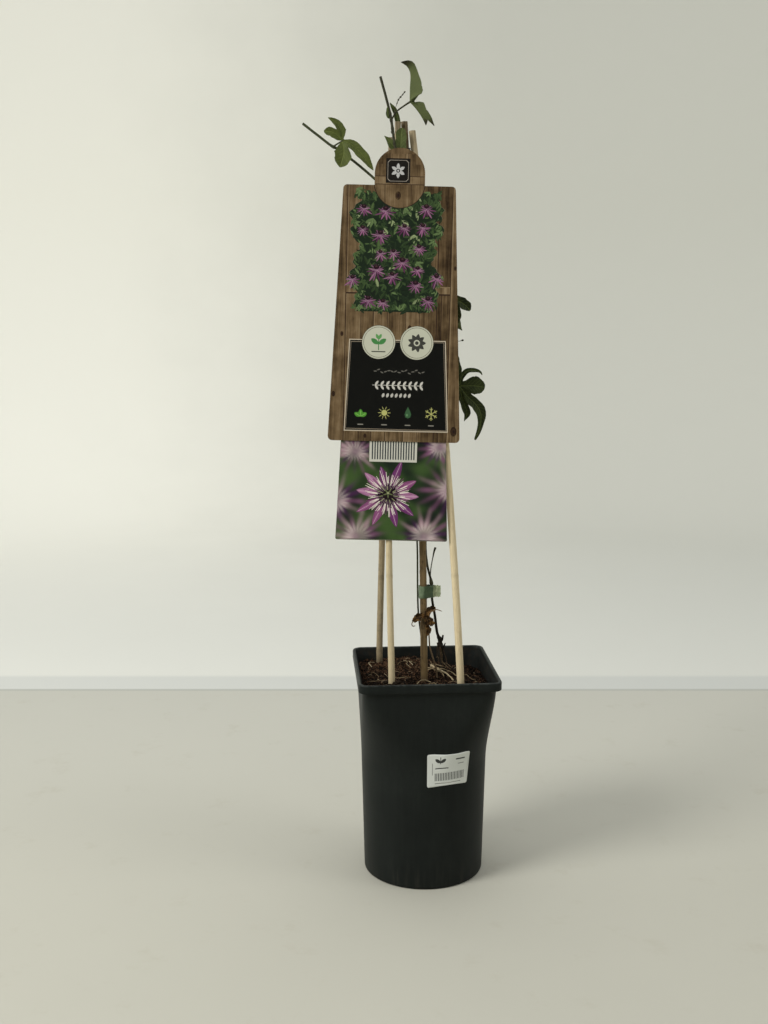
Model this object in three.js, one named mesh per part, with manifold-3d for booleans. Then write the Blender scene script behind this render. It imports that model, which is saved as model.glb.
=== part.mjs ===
// A climbing passion flower as it is sold: cut back to a few leafy shoots, trained on four bamboo
// canes in a nursery pot, with a printed card label hung on the canes.
// Millimetres, +Z up. The origin is the centre of the pot's flat underside, and -Y is the front.

import * as THREE from 'three';
import { mergeVertices } from 'three/addons/utils/BufferGeometryUtils.js';
import Module from 'manifold-3d';

const wasm = await Module();
wasm.setup();

// Driving dimensions: pot
const potHeight = 210;
const potWall = 1.6;
const potFloor = 2;
const baseHalf = 59.5;          // radius of the round base
const kneeHalf = 62.4;          // radius where the round wall starts to turn square
const kneeHeight = 120;
const neckHalf = 64.6;          // half width of the square wall under the rim
const neckCorner = 14;
const rimHalf = 68.4;
const rimCorner = 9.5;
const rimDepth = 8.5;           // height of the rim's band, where the wall steps out
const rimWall = 3;
const drainCount = 8;
const drainRadius = 4;
const drainCircle = 44;

// Driving dimensions: soil, canes and clearance
const soilHeight = 197;
const soilEdge = 196;           // height of the soil where it meets the pot
const wallHeights = [60, kneeHeight, 140, 160, 180, soilEdge];
const gap = 0.3;                // clearance between pieces that touch
const holeGap = 0.35;

// Driving dimensions: label
const labelTurn = -4;           // degrees about Z, so that it faces the viewer on the left
const labelLean = -3.32;        // degrees, its top leans back with the canes
const labelRoll = 1.35;         // degrees, its right side hangs a little lower
const labelFoot = new THREE.Vector3(-35.2, -30.9, 345);
const boardBottom = 90.5;
const boardTop = 326.2;
const boardHalfBottom = 62.2;
const boardHalfTop = 51.7;
const boardThickness = 0.8;
const tabRadius = 23.2;
const tabTop = 360;
const tabRoot = 30;             // how far the tab's plate reaches down into the board
const cardBottom = -3.4;
const cardTop = 318;
const cardHalfBottom = 53.1;
const cardHalfTop = 41;
const cardThickness = 0.6;

// Driving dimensions: leaves
const bladeThickness = 0.64;

const V = (x, y, z) => new THREE.Vector3(x, y, z);
const vectors = (rows) => rows.map(([x, y, z]) => V(x, y, z));
const smooth = (t) => t * t * (3 - 2 * t);
const mix = THREE.MathUtils.lerp;
const clamp = THREE.MathUtils.clamp;
const degrees = THREE.MathUtils.degToRad;

// Seeded random numbers, so that each run gives the same plant
function randomFrom(seed) {
  let state = seed;
  return () => {
    state = (state * 1664525 + 1013904223) % 4294967296;
    return state / 4294967296;
  };
}

// Solids ------------------------------------------------------------------------------------------

function geometryFrom(points, triangles) {
  const geometry = new THREE.BufferGeometry();
  geometry.setAttribute('position', new THREE.Float32BufferAttribute(points.flatMap((p) => p.toArray()), 3));
  geometry.setIndex(triangles.flat());
  return geometry;
}

// Stitches closed loops of equal length into a skin, and closes both ends with a fan
function skin(loops, startCentre, endCentre) {
  const sides = loops[0].length;
  const points = loops.flat();
  const triangles = [];
  for (let ring = 0; ring + 1 < loops.length; ring += 1) {
    for (let side = 0; side < sides; side += 1) {
      const next = (side + 1) % sides;
      const a = ring * sides + side;
      const b = ring * sides + next;
      triangles.push([a, b, b + sides], [a, b + sides, a + sides]);
    }
  }
  const last = (loops.length - 1) * sides;
  points.push(startCentre, endCentre);
  for (let side = 0; side < sides; side += 1) {
    const next = (side + 1) % sides;
    triangles.push([points.length - 2, next, side], [points.length - 1, last + side, last + next]);
  }
  return geometryFrom(points, triangles);
}

// A round stem or cane along points, with a radius at each point
function tube(points, radii, sides, steps) {
  const curve = new THREE.CatmullRomCurve3(points, false, 'centripetal');
  const frames = curve.computeFrenetFrames(steps, false);
  const loops = [];
  for (let step = 0; step <= steps; step += 1) {
    const along = step / steps;
    const centre = curve.getPointAt(along);
    const place = along * (radii.length - 1);
    const index = Math.min(Math.floor(place), radii.length - 2);
    const radius = mix(radii[index], radii[index + 1], place - index);
    const loop = [];
    for (let side = 0; side < sides; side += 1) {
      const angle = (side / sides) * 2 * Math.PI;
      loop.push(centre.clone()
        .addScaledVector(frames.normals[step], radius * Math.cos(angle))
        .addScaledVector(frames.binormals[step], radius * Math.sin(angle)));
    }
    loops.push(loop);
  }
  return skin(loops, curve.getPointAt(0), curve.getPointAt(1));
}

function toManifold(geometry) {
  const bare = geometry.clone();
  bare.deleteAttribute('normal');
  bare.deleteAttribute('uv');
  const merged = mergeVertices(bare, 1e-4);
  const mesh = new wasm.Mesh({
    numProp: 3,
    vertProperties: new Float32Array(merged.attributes.position.array),
    triVerts: new Uint32Array(merged.index.array),
  });
  const solid = new wasm.Manifold(mesh);
  return solid.volume() > 0 ? solid : turnedInsideOut(merged);
}

function turnedInsideOut(merged) {
  const triVerts = new Uint32Array(merged.index.array).reverse();
  const vertProperties = new Float32Array(merged.attributes.position.array);
  return new wasm.Manifold(new wasm.Mesh({ numProp: 3, vertProperties, triVerts }));
}

function fromManifold(solid) {
  const mesh = solid.getMesh();
  const geometry = new THREE.BufferGeometry();
  geometry.setAttribute('position', new THREE.BufferAttribute(mesh.vertProperties, 3));
  geometry.setIndex(new THREE.BufferAttribute(mesh.triVerts, 1));
  return geometry;
}

const fuse = (pieces) => pieces.map(toManifold).reduce((whole, piece) => whole.add(piece));

function cut(solid, cutters) {
  return cutters.map(toManifold).reduce((whole, cutter) => whole.subtract(cutter), solid);
}

// Pot ---------------------------------------------------------------------------------------------

// A level loop round the pot: square with round corners, and a circle where the corner is the half width
function potLoop(half, corner, height) {
  const loop = [];
  const perCorner = 7;
  for (let quarter = 0; quarter < 4; quarter += 1) {
    const middle = (quarter + 0.5) * Math.PI / 2;
    const centreX = Math.sign(Math.cos(middle)) * (half - corner);
    const centreY = Math.sign(Math.sin(middle)) * (half - corner);
    for (let step = 0; step < perCorner; step += 1) {
      const angle = (quarter + (step + 0.5) / perCorner) * Math.PI / 2;
      loop.push(V(centreX + corner * Math.cos(angle), centreY + corner * Math.sin(angle), height));
    }
  }
  return loop;
}

// Half width and corner radius of the outer wall at a height
function wallAt(height) {
  if (height <= kneeHeight) {
    const half = mix(baseHalf, kneeHalf, height / kneeHeight);
    return [half, half];
  }
  const t = Math.min((height - kneeHeight) / (potHeight - rimDepth - kneeHeight), 1);
  const turned = (smooth(t) + t) / 2;
  return [mix(kneeHalf, neckHalf, turned), mix(kneeHalf, neckCorner, turned)];
}

function wallLoop(height, inset) {
  const [half, corner] = wallAt(height);
  return potLoop(half - inset, corner - inset, height);
}

// How far the outer wall stands from the pot's axis in one direction
function wallReach(height, angle) {
  const [half, corner] = wallAt(height);
  const c = Math.abs(Math.cos(angle));
  const s = Math.abs(Math.sin(angle));
  const flat = half / Math.max(c, s);
  if (flat * Math.min(c, s) <= half - corner) return flat;
  const along = (half - corner) * (c + s);
  return along + Math.sqrt(corner ** 2 - 2 * (half - corner) ** 2 + along ** 2);
}

function makePot() {
  const step = potHeight - rimDepth;
  const loops = [
    potLoop(baseHalf - 1.4, baseHalf - 1.4, 0),
    potLoop(baseHalf, baseHalf, 1.6),
    ...wallHeights.map((height) => wallLoop(height, 0)),
    potLoop(neckHalf, neckCorner, step - 0.8),
    potLoop(rimHalf - 0.5, rimCorner - 0.5, step),
    potLoop(rimHalf, rimCorner, step + 0.8),
    potLoop(rimHalf, rimCorner, potHeight - 1.2),
    potLoop(rimHalf - 0.9, rimCorner - 0.9, potHeight),
    potLoop(rimHalf - rimWall + 0.6, rimCorner - rimWall + 0.6, potHeight),
    potLoop(rimHalf - rimWall, rimCorner - rimWall, potHeight - 1),
    potLoop(rimHalf - rimWall, rimCorner - rimWall, step + 2.5),
    potLoop(neckHalf - potWall, neckCorner - potWall, step - 0.5),
    ...wallHeights.toReversed().map((height) => wallLoop(height, potWall)),
    wallLoop(potFloor, potWall),
  ];
  const drains = [];
  for (let drain = 0; drain < drainCount; drain += 1) {
    const angle = ((drain + 0.5) / drainCount) * 2 * Math.PI;
    const hole = new THREE.CylinderGeometry(drainRadius, drainRadius, 4 * potFloor, 12);
    hole.rotateX(Math.PI / 2);
    hole.translate(drainCircle * Math.cos(angle), drainCircle * Math.sin(angle), 0);
    drains.push(hole);
  }
  return fromManifold(cut(toManifold(skin(loops, V(0, 0, 0), V(0, 0, potFloor))), drains));
}

// Soil --------------------------------------------------------------------------------------------

// Height of the soil's crumbly top: higher at the left, with a mound round the woody stem, one along
// the back wall and a clump in front
function soilTop(x, y) {
  const mound = 3 * Math.exp(-((x - 24) ** 2 + (y - 28) ** 2) / 220);
  const bank = 4 * Math.exp(-((x + 4) ** 2) / 500 - ((y - 50) ** 2) / 150);
  const clump = 5 * Math.exp(-((x + 30) ** 2 + (y + 44) ** 2) / 60);
  const crumbs = 0.9 * Math.sin(x * 0.31 + y * 0.17) + 0.8 * Math.sin(y * 0.43 - x * 0.23 + 1.3);
  return soilHeight - 0.03 * x - 0.02 * y + mound + bank + clump + crumbs;
}

function makeSoil(cutters) {
  const inset = potWall + gap;
  const edge = wallLoop(soilEdge, inset);
  const loops = [potFloor + gap, ...wallHeights.slice(0, -1)].map((height) => wallLoop(height, inset));
  loops.push(edge.map((p) => V(p.x, p.y, soilEdge + 0.6 * Math.sin(p.x * 0.3 + p.y * 0.2))));
  for (const share of [0.93, 0.8, 0.66, 0.52, 0.38, 0.24, 0.11]) {
    loops.push(edge.map((p) => V(p.x * share, p.y * share, soilTop(p.x * share, p.y * share))));
  }
  const block = skin(loops, V(0, 0, potFloor + gap), V(0, 0, soilTop(0, 0)));
  return fromManifold(cut(toManifold(block), cutters));
}

// Bamboo canes ------------------------------------------------------------------------------------

// Each cane's axis from its foot in the soil to its cut top, and its radius at both ends
const canes = {
  cane_back_left: {
    axis: [[-40.8, 47, 152], [-41.3, 48, 196], [-39.2, 37.4, 325], [-35.6, 20.8, 520], [-32.4, 4.7, 716]],
    radii: [3.2, 2.9],
    color: 0x85765c,
  },
  cane_front_left: {
    axis: [[-34.5, -42.3, 130], [-35, -37.2, 204], [-37, -27.3, 340], [-35.2, -15.8, 500], [-27, -0.9, 729]],
    radii: [3.25, 2.8],
    color: 0xc8b48c,
  },
  cane_centre: {
    axis: [[-0.4, -19.4, 130], [-1.4, -16.8, 200], [-3.2, -10.9, 337], [-8.6, -4.6, 500], [-20.6, 4.6, 730]],
    radii: [3.4, 3],
    color: 0x77634a,
  },
  cane_right: {
    axis: [[34.4, -44.4, 130], [31.3, -41.3, 204], [23.6, -30.7, 340], [11.2, -18.4, 500], [-13.8, -1, 721]],
    radii: [3.5, 3.05],
    color: 0xcdb992,
  },
};
const nodeSpacing = 118;        // mean distance between a cane's joints
const nodeSwell = 0.28;

function caneRadius(spec, along, length) {
  const plain = mix(spec.radii[0], spec.radii[1], along);
  const toNode = Math.abs(((along * length) % nodeSpacing) - nodeSpacing / 2);
  return plain + nodeSwell * Math.exp(-((toNode / 2.2) ** 2));
}

// Rings stand close together only at the joints
function makeCane(spec, extra, foot) {
  const curve = new THREE.CatmullRomCurve3(vectors(spec.axis), false, 'centripetal');
  const length = curve.getLength();
  const stops = [0];
  for (let joint = nodeSpacing / 2; joint < length; joint += nodeSpacing) {
    stops.push(joint - 3, joint, joint + 3, joint + 30, joint + 60);
  }
  const kept = stops.filter((stop) => stop >= 0 && stop < length - 2).map((stop) => stop / length);
  const places = [...kept, 1].filter((along) => curve.getPointAt(along).z <= foot);
  const across = V(1, 0, 0);
  const sides = 10;
  const loops = places.map((along, index) => {
    const tangent = curve.getTangentAt(along);
    const centre = curve.getPointAt(along).addScaledVector(tangent, index === 0 ? -extra : 0);
    const u = across.clone().addScaledVector(tangent, -across.dot(tangent)).normalize();
    const v = tangent.clone().cross(u);
    const radius = caneRadius(spec, along, length) + extra;
    return Array.from({ length: sides }, (_, side) => {
      const angle = (side / sides) * 2 * Math.PI;
      return centre.clone()
        .addScaledVector(u, radius * Math.cos(angle))
        .addScaledVector(v, radius * Math.sin(angle));
    });
  });
  const start = curve.getPointAt(0).addScaledVector(curve.getTangentAt(0), -extra);
  return skin(loops, start, curve.getPointAt(places[places.length - 1]));
}

// Where a cane's axis is at a height
function caneAt(name, height) {
  const curve = new THREE.CatmullRomCurve3(vectors(canes[name].axis), false, 'centripetal');
  let low = 0;
  let high = 1;
  for (let step = 0; step < 30; step += 1) {
    const middle = (low + high) / 2;
    if (curve.getPointAt(middle).z < height) low = middle;
    else high = middle;
  }
  return curve.getPointAt(low);
}

// Ties --------------------------------------------------------------------------------------------

// The outline of a cord pulled tight round circles [x, y, radius]
function hullRound(circles, extra) {
  const points = circles.flatMap(([x, y, radius]) => Array.from({ length: 24 }, (_, step) => {
    const angle = (step / 24) * 2 * Math.PI;
    return new THREE.Vector2(x + (radius + extra) * Math.cos(angle), y + (radius + extra) * Math.sin(angle));
  }));
  points.sort((a, b) => a.x - b.x || a.y - b.y);
  const turn = (o, a, b) => (a.x - o.x) * (b.y - o.y) - (a.y - o.y) * (b.x - o.x);
  const half = (list) => {
    const chain = [];
    for (const point of list) {
      while (chain.length > 1 && turn(chain.at(-2), chain.at(-1), point) <= 1e-6) chain.pop();
      chain.push(point);
    }
    return chain.slice(0, -1);
  };
  return [...half(points), ...half(points.toReversed())];
}

function band(circles, inner, thickness, low, high) {
  const shape = new THREE.Shape(hullRound(circles, inner + thickness));
  shape.holes.push(new THREE.Path(hullRound(circles, inner)));
  const geometry = new THREE.ExtrudeGeometry(shape, { depth: high - low, bevelEnabled: false });
  return geometry.translate(0, 0, low);
}

const caneTieLow = 689;
const caneTieHigh = 696;
const tieClearance = 0.8;
const tieThickness = 0.9;
const tieEnd = { x: -16.8, y: -7.3, width: 1.6, rise: 9 };   // the knotted end that stands up in front

function makeCaneTie() {
  const middle = (caneTieLow + caneTieHigh) / 2;
  const circles = Object.keys(canes).map((name) => {
    const at = caneAt(name, middle);
    return [at.x, at.y, 3];
  });
  const height = caneTieHigh - caneTieLow + tieEnd.rise;
  const end = new THREE.BoxGeometry(tieEnd.width, tieEnd.width, height);
  end.translate(tieEnd.x, tieEnd.y, caneTieLow + height / 2);
  return fromManifold(fuse([band(circles, tieClearance, tieThickness, caneTieLow, caneTieHigh), end]));
}

const tapeLow = 281;
const tapeHigh = 293;
const tapeStem = [6.1, -10.2];  // where the tape holds the vine beside the centre cane

function makeTapeTie() {
  const cane = caneAt('cane_centre', (tapeLow + tapeHigh) / 2);
  const circles = [[cane.x, cane.y, 3.6], [...tapeStem, 1.5]];
  const flag = new THREE.BoxGeometry(7, 0.7, tapeHigh - tapeLow, 1, 1, 1);
  flag.rotateZ(degrees(-12));
  flag.translate(tapeStem[0] + 5.2, tapeStem[1] - 0.8, (tapeLow + tapeHigh) / 2);
  return fromManifold(fuse([band(circles, 0.35, 0.7, tapeLow, tapeHigh), flag]));
}

// Leaves ------------------------------------------------------------------------------------------

// One lobe: its midrib's points from the leaf's junction to its tip, half width, how far it is folded
// along the midrib, the way its face looks, its outline as shares of the half width at even steps, and
// how much of the leaf's fan it takes
function lobe(midrib, half, fold, face, outline = pointed, sector = 1) {
  return { midrib, half, fold, face, outline, sector };
}

const pointed = [0, 0.3, 0.62, 0.86, 0.98, 1, 0.92, 0.76, 0.52, 0.26, 0.02];
const blunt = [0, 0.42, 0.72, 0.9, 0.98, 1, 0.96, 0.88, 0.74, 0.5, 0.1];

function lobeFrame(spec) {
  const curve = new THREE.CatmullRomCurve3(vectors(spec.midrib), false, 'centripetal');
  return { ...spec, curve, length: curve.getLength(), look: V(...spec.face).normalize() };
}

// Where a point of the flat lobe goes: along it by a share of its length, and across in millimetres
function onLobe(frame, share, across) {
  const t = clamp(share, 0, 1);
  const tangent = frame.curve.getTangentAt(t);
  const sideways = tangent.clone().cross(frame.look).normalize();
  const normal = sideways.clone().cross(tangent);
  const fold = degrees(frame.fold) * Math.min(1, t * 5 + 0.1);
  return frame.curve.getPointAt(t)
    .addScaledVector(sideways, across * Math.cos(fold))
    .addScaledVector(normal, Math.abs(across) * Math.sin(fold));
}

// A row's value at a share of its length
function readRow(row, share) {
  const place = clamp(share, 0, 1) * (row.length - 1);
  const index = Math.min(Math.floor(place), row.length - 2);
  return mix(row[index], row[index + 1], place - index);
}

// A palmate blade: lobes side by side on a fan of the given angle, joined by webs at the junction
function makeBlade({ lobes, fan = 200, webs = 0.26, perSide = 4, rings = 3 }) {
  const frames = lobes.map(lobeFrame);
  const last = frames.length - 1;
  const whole = frames.reduce((sum, frame) => sum + frame.sector, 0);
  let border = -degrees(fan) / 2;
  for (const frame of frames) {
    frame.halfSector = degrees(fan) * frame.sector / whole / 2;
    frame.axis = border + frame.halfSector;
    border += 2 * frame.halfSector;
  }
  // how far the notch after a lobe stands from the junction
  const notch = (index) => {
    if (index < 0 || index >= last) return 0.06 * frames[clamp(index, 0, last)].length;
    const web = Array.isArray(webs) ? webs[index] : webs;
    return web * (frames[index].length + frames[index + 1].length) / 2;
  };
  const outline = [];
  frames.forEach((frame, index) => {
    const row = (side) => {
      const free = side < 0 ? index === 0 : index === last;
      const start = 1.2 * notch(side < 0 ? index - 1 : index) / frame.length;
      const steepest = Math.tan(free ? 1.2 : Math.min(0.84 * frame.halfSector, 1.2));
      return Array.from({ length: perSide }, (_, step) => {
        const share = mix(start, 0.95, step / (perSide - 0.999));
        const wave = 1 + 0.06 * Math.sin(share * 17 + index * 2 + side);
        const wanted = frame.half * readRow(frame.outline, share) * wave;
        return { share, across: side * Math.min(wanted, share * frame.length * steepest) };
      });
    };
    for (const { share, across } of [...row(-1), { share: 1, across: 0 }, ...row(1).toReversed()]) {
      const reach = share * frame.length;
      outline.push({ angle: frame.axis + Math.atan2(across, reach), reach: Math.hypot(across, reach) });
    }
    if (index < last) outline.push({ angle: frame.axis + frame.halfSector, reach: notch(index) });
  });
  const place = (angle, reach) => {
    const index = clamp(frames.findLastIndex((frame) => frame.axis <= angle), 0, last);
    const near = [frames[index], frames[Math.min(index + 1, last)]];
    const seam = near[0].axis + near[0].halfSector;
    const beyondSeam = (angle - seam) / near[1].halfSector;
    const part = clamp(0.5 + 0.5 * (angle < seam ? (angle - seam) / near[0].halfSector : beyondSeam), 0, 1);
    const beyond = Math.exp(-Math.max(0, reach - notch(index)) / (0.3 * notch(index)));
    const lean = Math.sin(part * Math.PI / 2) ** 2;
    const second = lean > 0.5 ? 1 - (1 - lean) * beyond : lean * beyond;
    const point = V(0, 0, 0);
    near.forEach((frame, order) => {
      const turned = angle - frame.axis;
      const weight = order === 0 ? 1 - second : second;
      const share = reach * Math.cos(turned) / frame.length;
      point.addScaledVector(onLobe(frame, share, reach * Math.sin(turned)), weight);
    });
    return point;
  };
  const middle = [place(0, 0)];
  for (let ring = 1; ring <= rings; ring += 1) {
    outline.forEach(({ angle, reach }) => middle.push(place(angle, reach * ring / rings)));
  }
  const count = outline.length;
  const face = [];
  for (let side = 0; side + 1 < count; side += 1) {
    face.push([0, 1 + side, 2 + side]);
    for (let ring = 1; ring < rings; ring += 1) {
      const a = 1 + (ring - 1) * count + side;
      face.push([a, a + count, a + count + 1], [a, a + count + 1, a + 1]);
    }
  }
  return thicken(middle, face, count, rings);
}

// Gives a skin its thickness: both faces have the same triangles, and a rim closes the border
function thicken(middle, face, count, rings) {
  const flat = geometryFrom(middle, face);
  flat.computeVertexNormals();
  const normals = flat.attributes.normal;
  const offset = (sign) => middle.map((p, index) => p.clone()
    .addScaledVector(new THREE.Vector3().fromBufferAttribute(normals, index), sign * bladeThickness / 2));
  const points = [...offset(1), ...offset(-1)];
  const under = middle.length;
  const triangles = [...face, ...face.map(([a, b, c]) => [a + under, c + under, b + under])];
  const at = (ring, side) => 1 + (ring - 1) * count + side;
  const border = [0];
  for (let ring = 1; ring <= rings; ring += 1) border.push(at(ring, 0));
  for (let side = 1; side < count; side += 1) border.push(at(rings, side));
  for (let ring = rings - 1; ring >= 1; ring -= 1) border.push(at(ring, count - 1));
  border.forEach((a, index) => {
    const b = border[(index + 1) % border.length];
    triangles.push([a, under + a, under + b], [a, under + b, b]);
  });
  return geometryFrom(points, triangles);
}

// Lobes spread evenly round a junction for a leaf that hangs behind the label
function openLeaf(junction, along, face, size, count, seed) {
  const random = randomFrom(seed);
  const look = V(...face).normalize();
  const main = V(...along).addScaledVector(look, -V(...along).dot(look)).normalize();
  const side = main.clone().cross(look);
  const lobes = [];
  for (let index = 0; index < count; index += 1) {
    const share = (index - (count - 1) / 2) / ((count - 1) / 2);
    const angle = share * degrees(count === 3 ? 66 : 104);
    const length = size * (1 - 0.34 * share * share) * (0.92 + 0.16 * random());
    const aim = main.clone().multiplyScalar(Math.cos(angle)).addScaledVector(side, Math.sin(angle));
    const start = V(...junction);
    const droop = 0.1 + 0.16 * random();
    const middle = start.clone().addScaledVector(aim, 0.5 * length).addScaledVector(look, 0.05 * length);
    const tip = start.clone().addScaledVector(aim, 0.96 * length).addScaledVector(look, -droop * length);
    tip.z -= droop * length;
    lobes.push(lobe([junction, middle.toArray(), tip.toArray()], 0.2 * length, 12 + 14 * random(), face));
  }
  return { lobes, fan: count === 3 ? 190 : 260, perSide: 3, rings: 2 };
}

// Vines -------------------------------------------------------------------------------------------

const front = [0, -1, 0];

// The main vine: out of the soil at the back right, tied to the centre cane, out behind the right cane,
// round its front under the label's top, and up to the cut end
const mainPath = [
  [22.6, 27.4, 213], [18.6, 23.4, 229], [15.3, 18, 236.5], [11.2, 5, 258], [7.2, -9.4, 275],
  [6.2, -10.4, 282], [5.8, -10.2, 295], [2.2, -5.6, 312], [0.6, -3.4, 335], [6, -1.5, 385],
  [14, 0, 430], [20.4, 2, 485], [20.4, 3.4, 540], [15.5, 3, 585], [8, -1, 617], [3.4, -8.6, 640],
  [-4.6, -12.6, 658], [-16, -11.4, 677], [-25.6, -9.6, 691], [-29.6, -9, 700], [-30.6, -8.6, 707],
  [-32.4, -7.4, 721], [-34.4, -6, 734], [-38.4, -5.4, 750], [-43.5, -5, 768],
];
const mainRadii = [1.5, 1.3, 1.1, 1.1, 1.05, 1, 1, 1, 1.05, 1.1, 1.2, 1.2];

const stumpPath = [
  [27.6, 32.4, 184], [25.4, 30.4, 198], [23.4, 28.4, 209], [21, 26.6, 219], [19.6, 25.4, 227],
  [19.8, 25, 231],
];
const stumpRadii = [3.2, 3.2, 2.7, 2.5, 2.2, 0.9];

// Side growths of the main vine: petioles, tendrils and stubs as [points, radii]
const mainTwigs = [
  [[[4.8, -9, 297], [5.2, -9.4, 308], [8.6, -9.6, 327], [9.6, -9.8, 330]], [0.6, 0.5, 0.5, 1.1]],
  [[[10.8, -0.8, 409], [18, -2, 404], [25.2, -3.4, 399]], [0.9, 0.8, 0.7]],
  [
    [[20.5, 2.2, 505], [25, 5, 512], [29.5, 5.4, 507], [31.6, 4, 497], [33, 1.3, 485.2]],
    [0.9, 0.8, 0.8, 0.8, 0.9],
  ],
  [[[20.4, 3.2, 536], [25.4, 2.4, 530], [31.5, 2, 528.2], [36.4, 2, 529.4]], [0.6, 0.5, 0.5, 1]],
  [[[19.4, 3.4, 552], [22.6, 4, 563], [26.8, 3.2, 568.6]], [0.8, 0.8, 0.8]],
  [[[14.4, 0.4, 432], [9, 13, 452], [1, 26, 468]], [0.9, 0.8, 0.8]],
  [[[19.4, 3.4, 550], [14, 16, 557], [8, 28.8, 565]], [0.9, 0.8, 0.8]],
  [
    [[-33.6, -6.4, 730], [-28.4, -7.6, 737.4], [-22.6, -8.8, 741.6], [-16, -9.8, 745.8]],
    [0.9, 0.75, 0.75, 0.9],
  ],
  [
    [[-31, -7.4, 735.6], [-29.6, -8.6, 741], [-26.9, -9, 747.8], [-24.4, -9, 750.6], [-21, -9, 754.8]],
    [0.6, 0.45, 0.75, 0.45, 0.7],
  ],
  [[[-31, -7.4, 709], [-28.6, -9.8, 702.6], [-25, -8.8, 699.3]], [0.8, 0.75, 0.75]],
  [[[-32.4, -7.4, 722], [-33, -2.6, 719.8], [-31, 3.4, 718.6], [-27, 5.2, 717.2]], [0.8, 0.7, 0.7, 0.7]],
];

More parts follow.
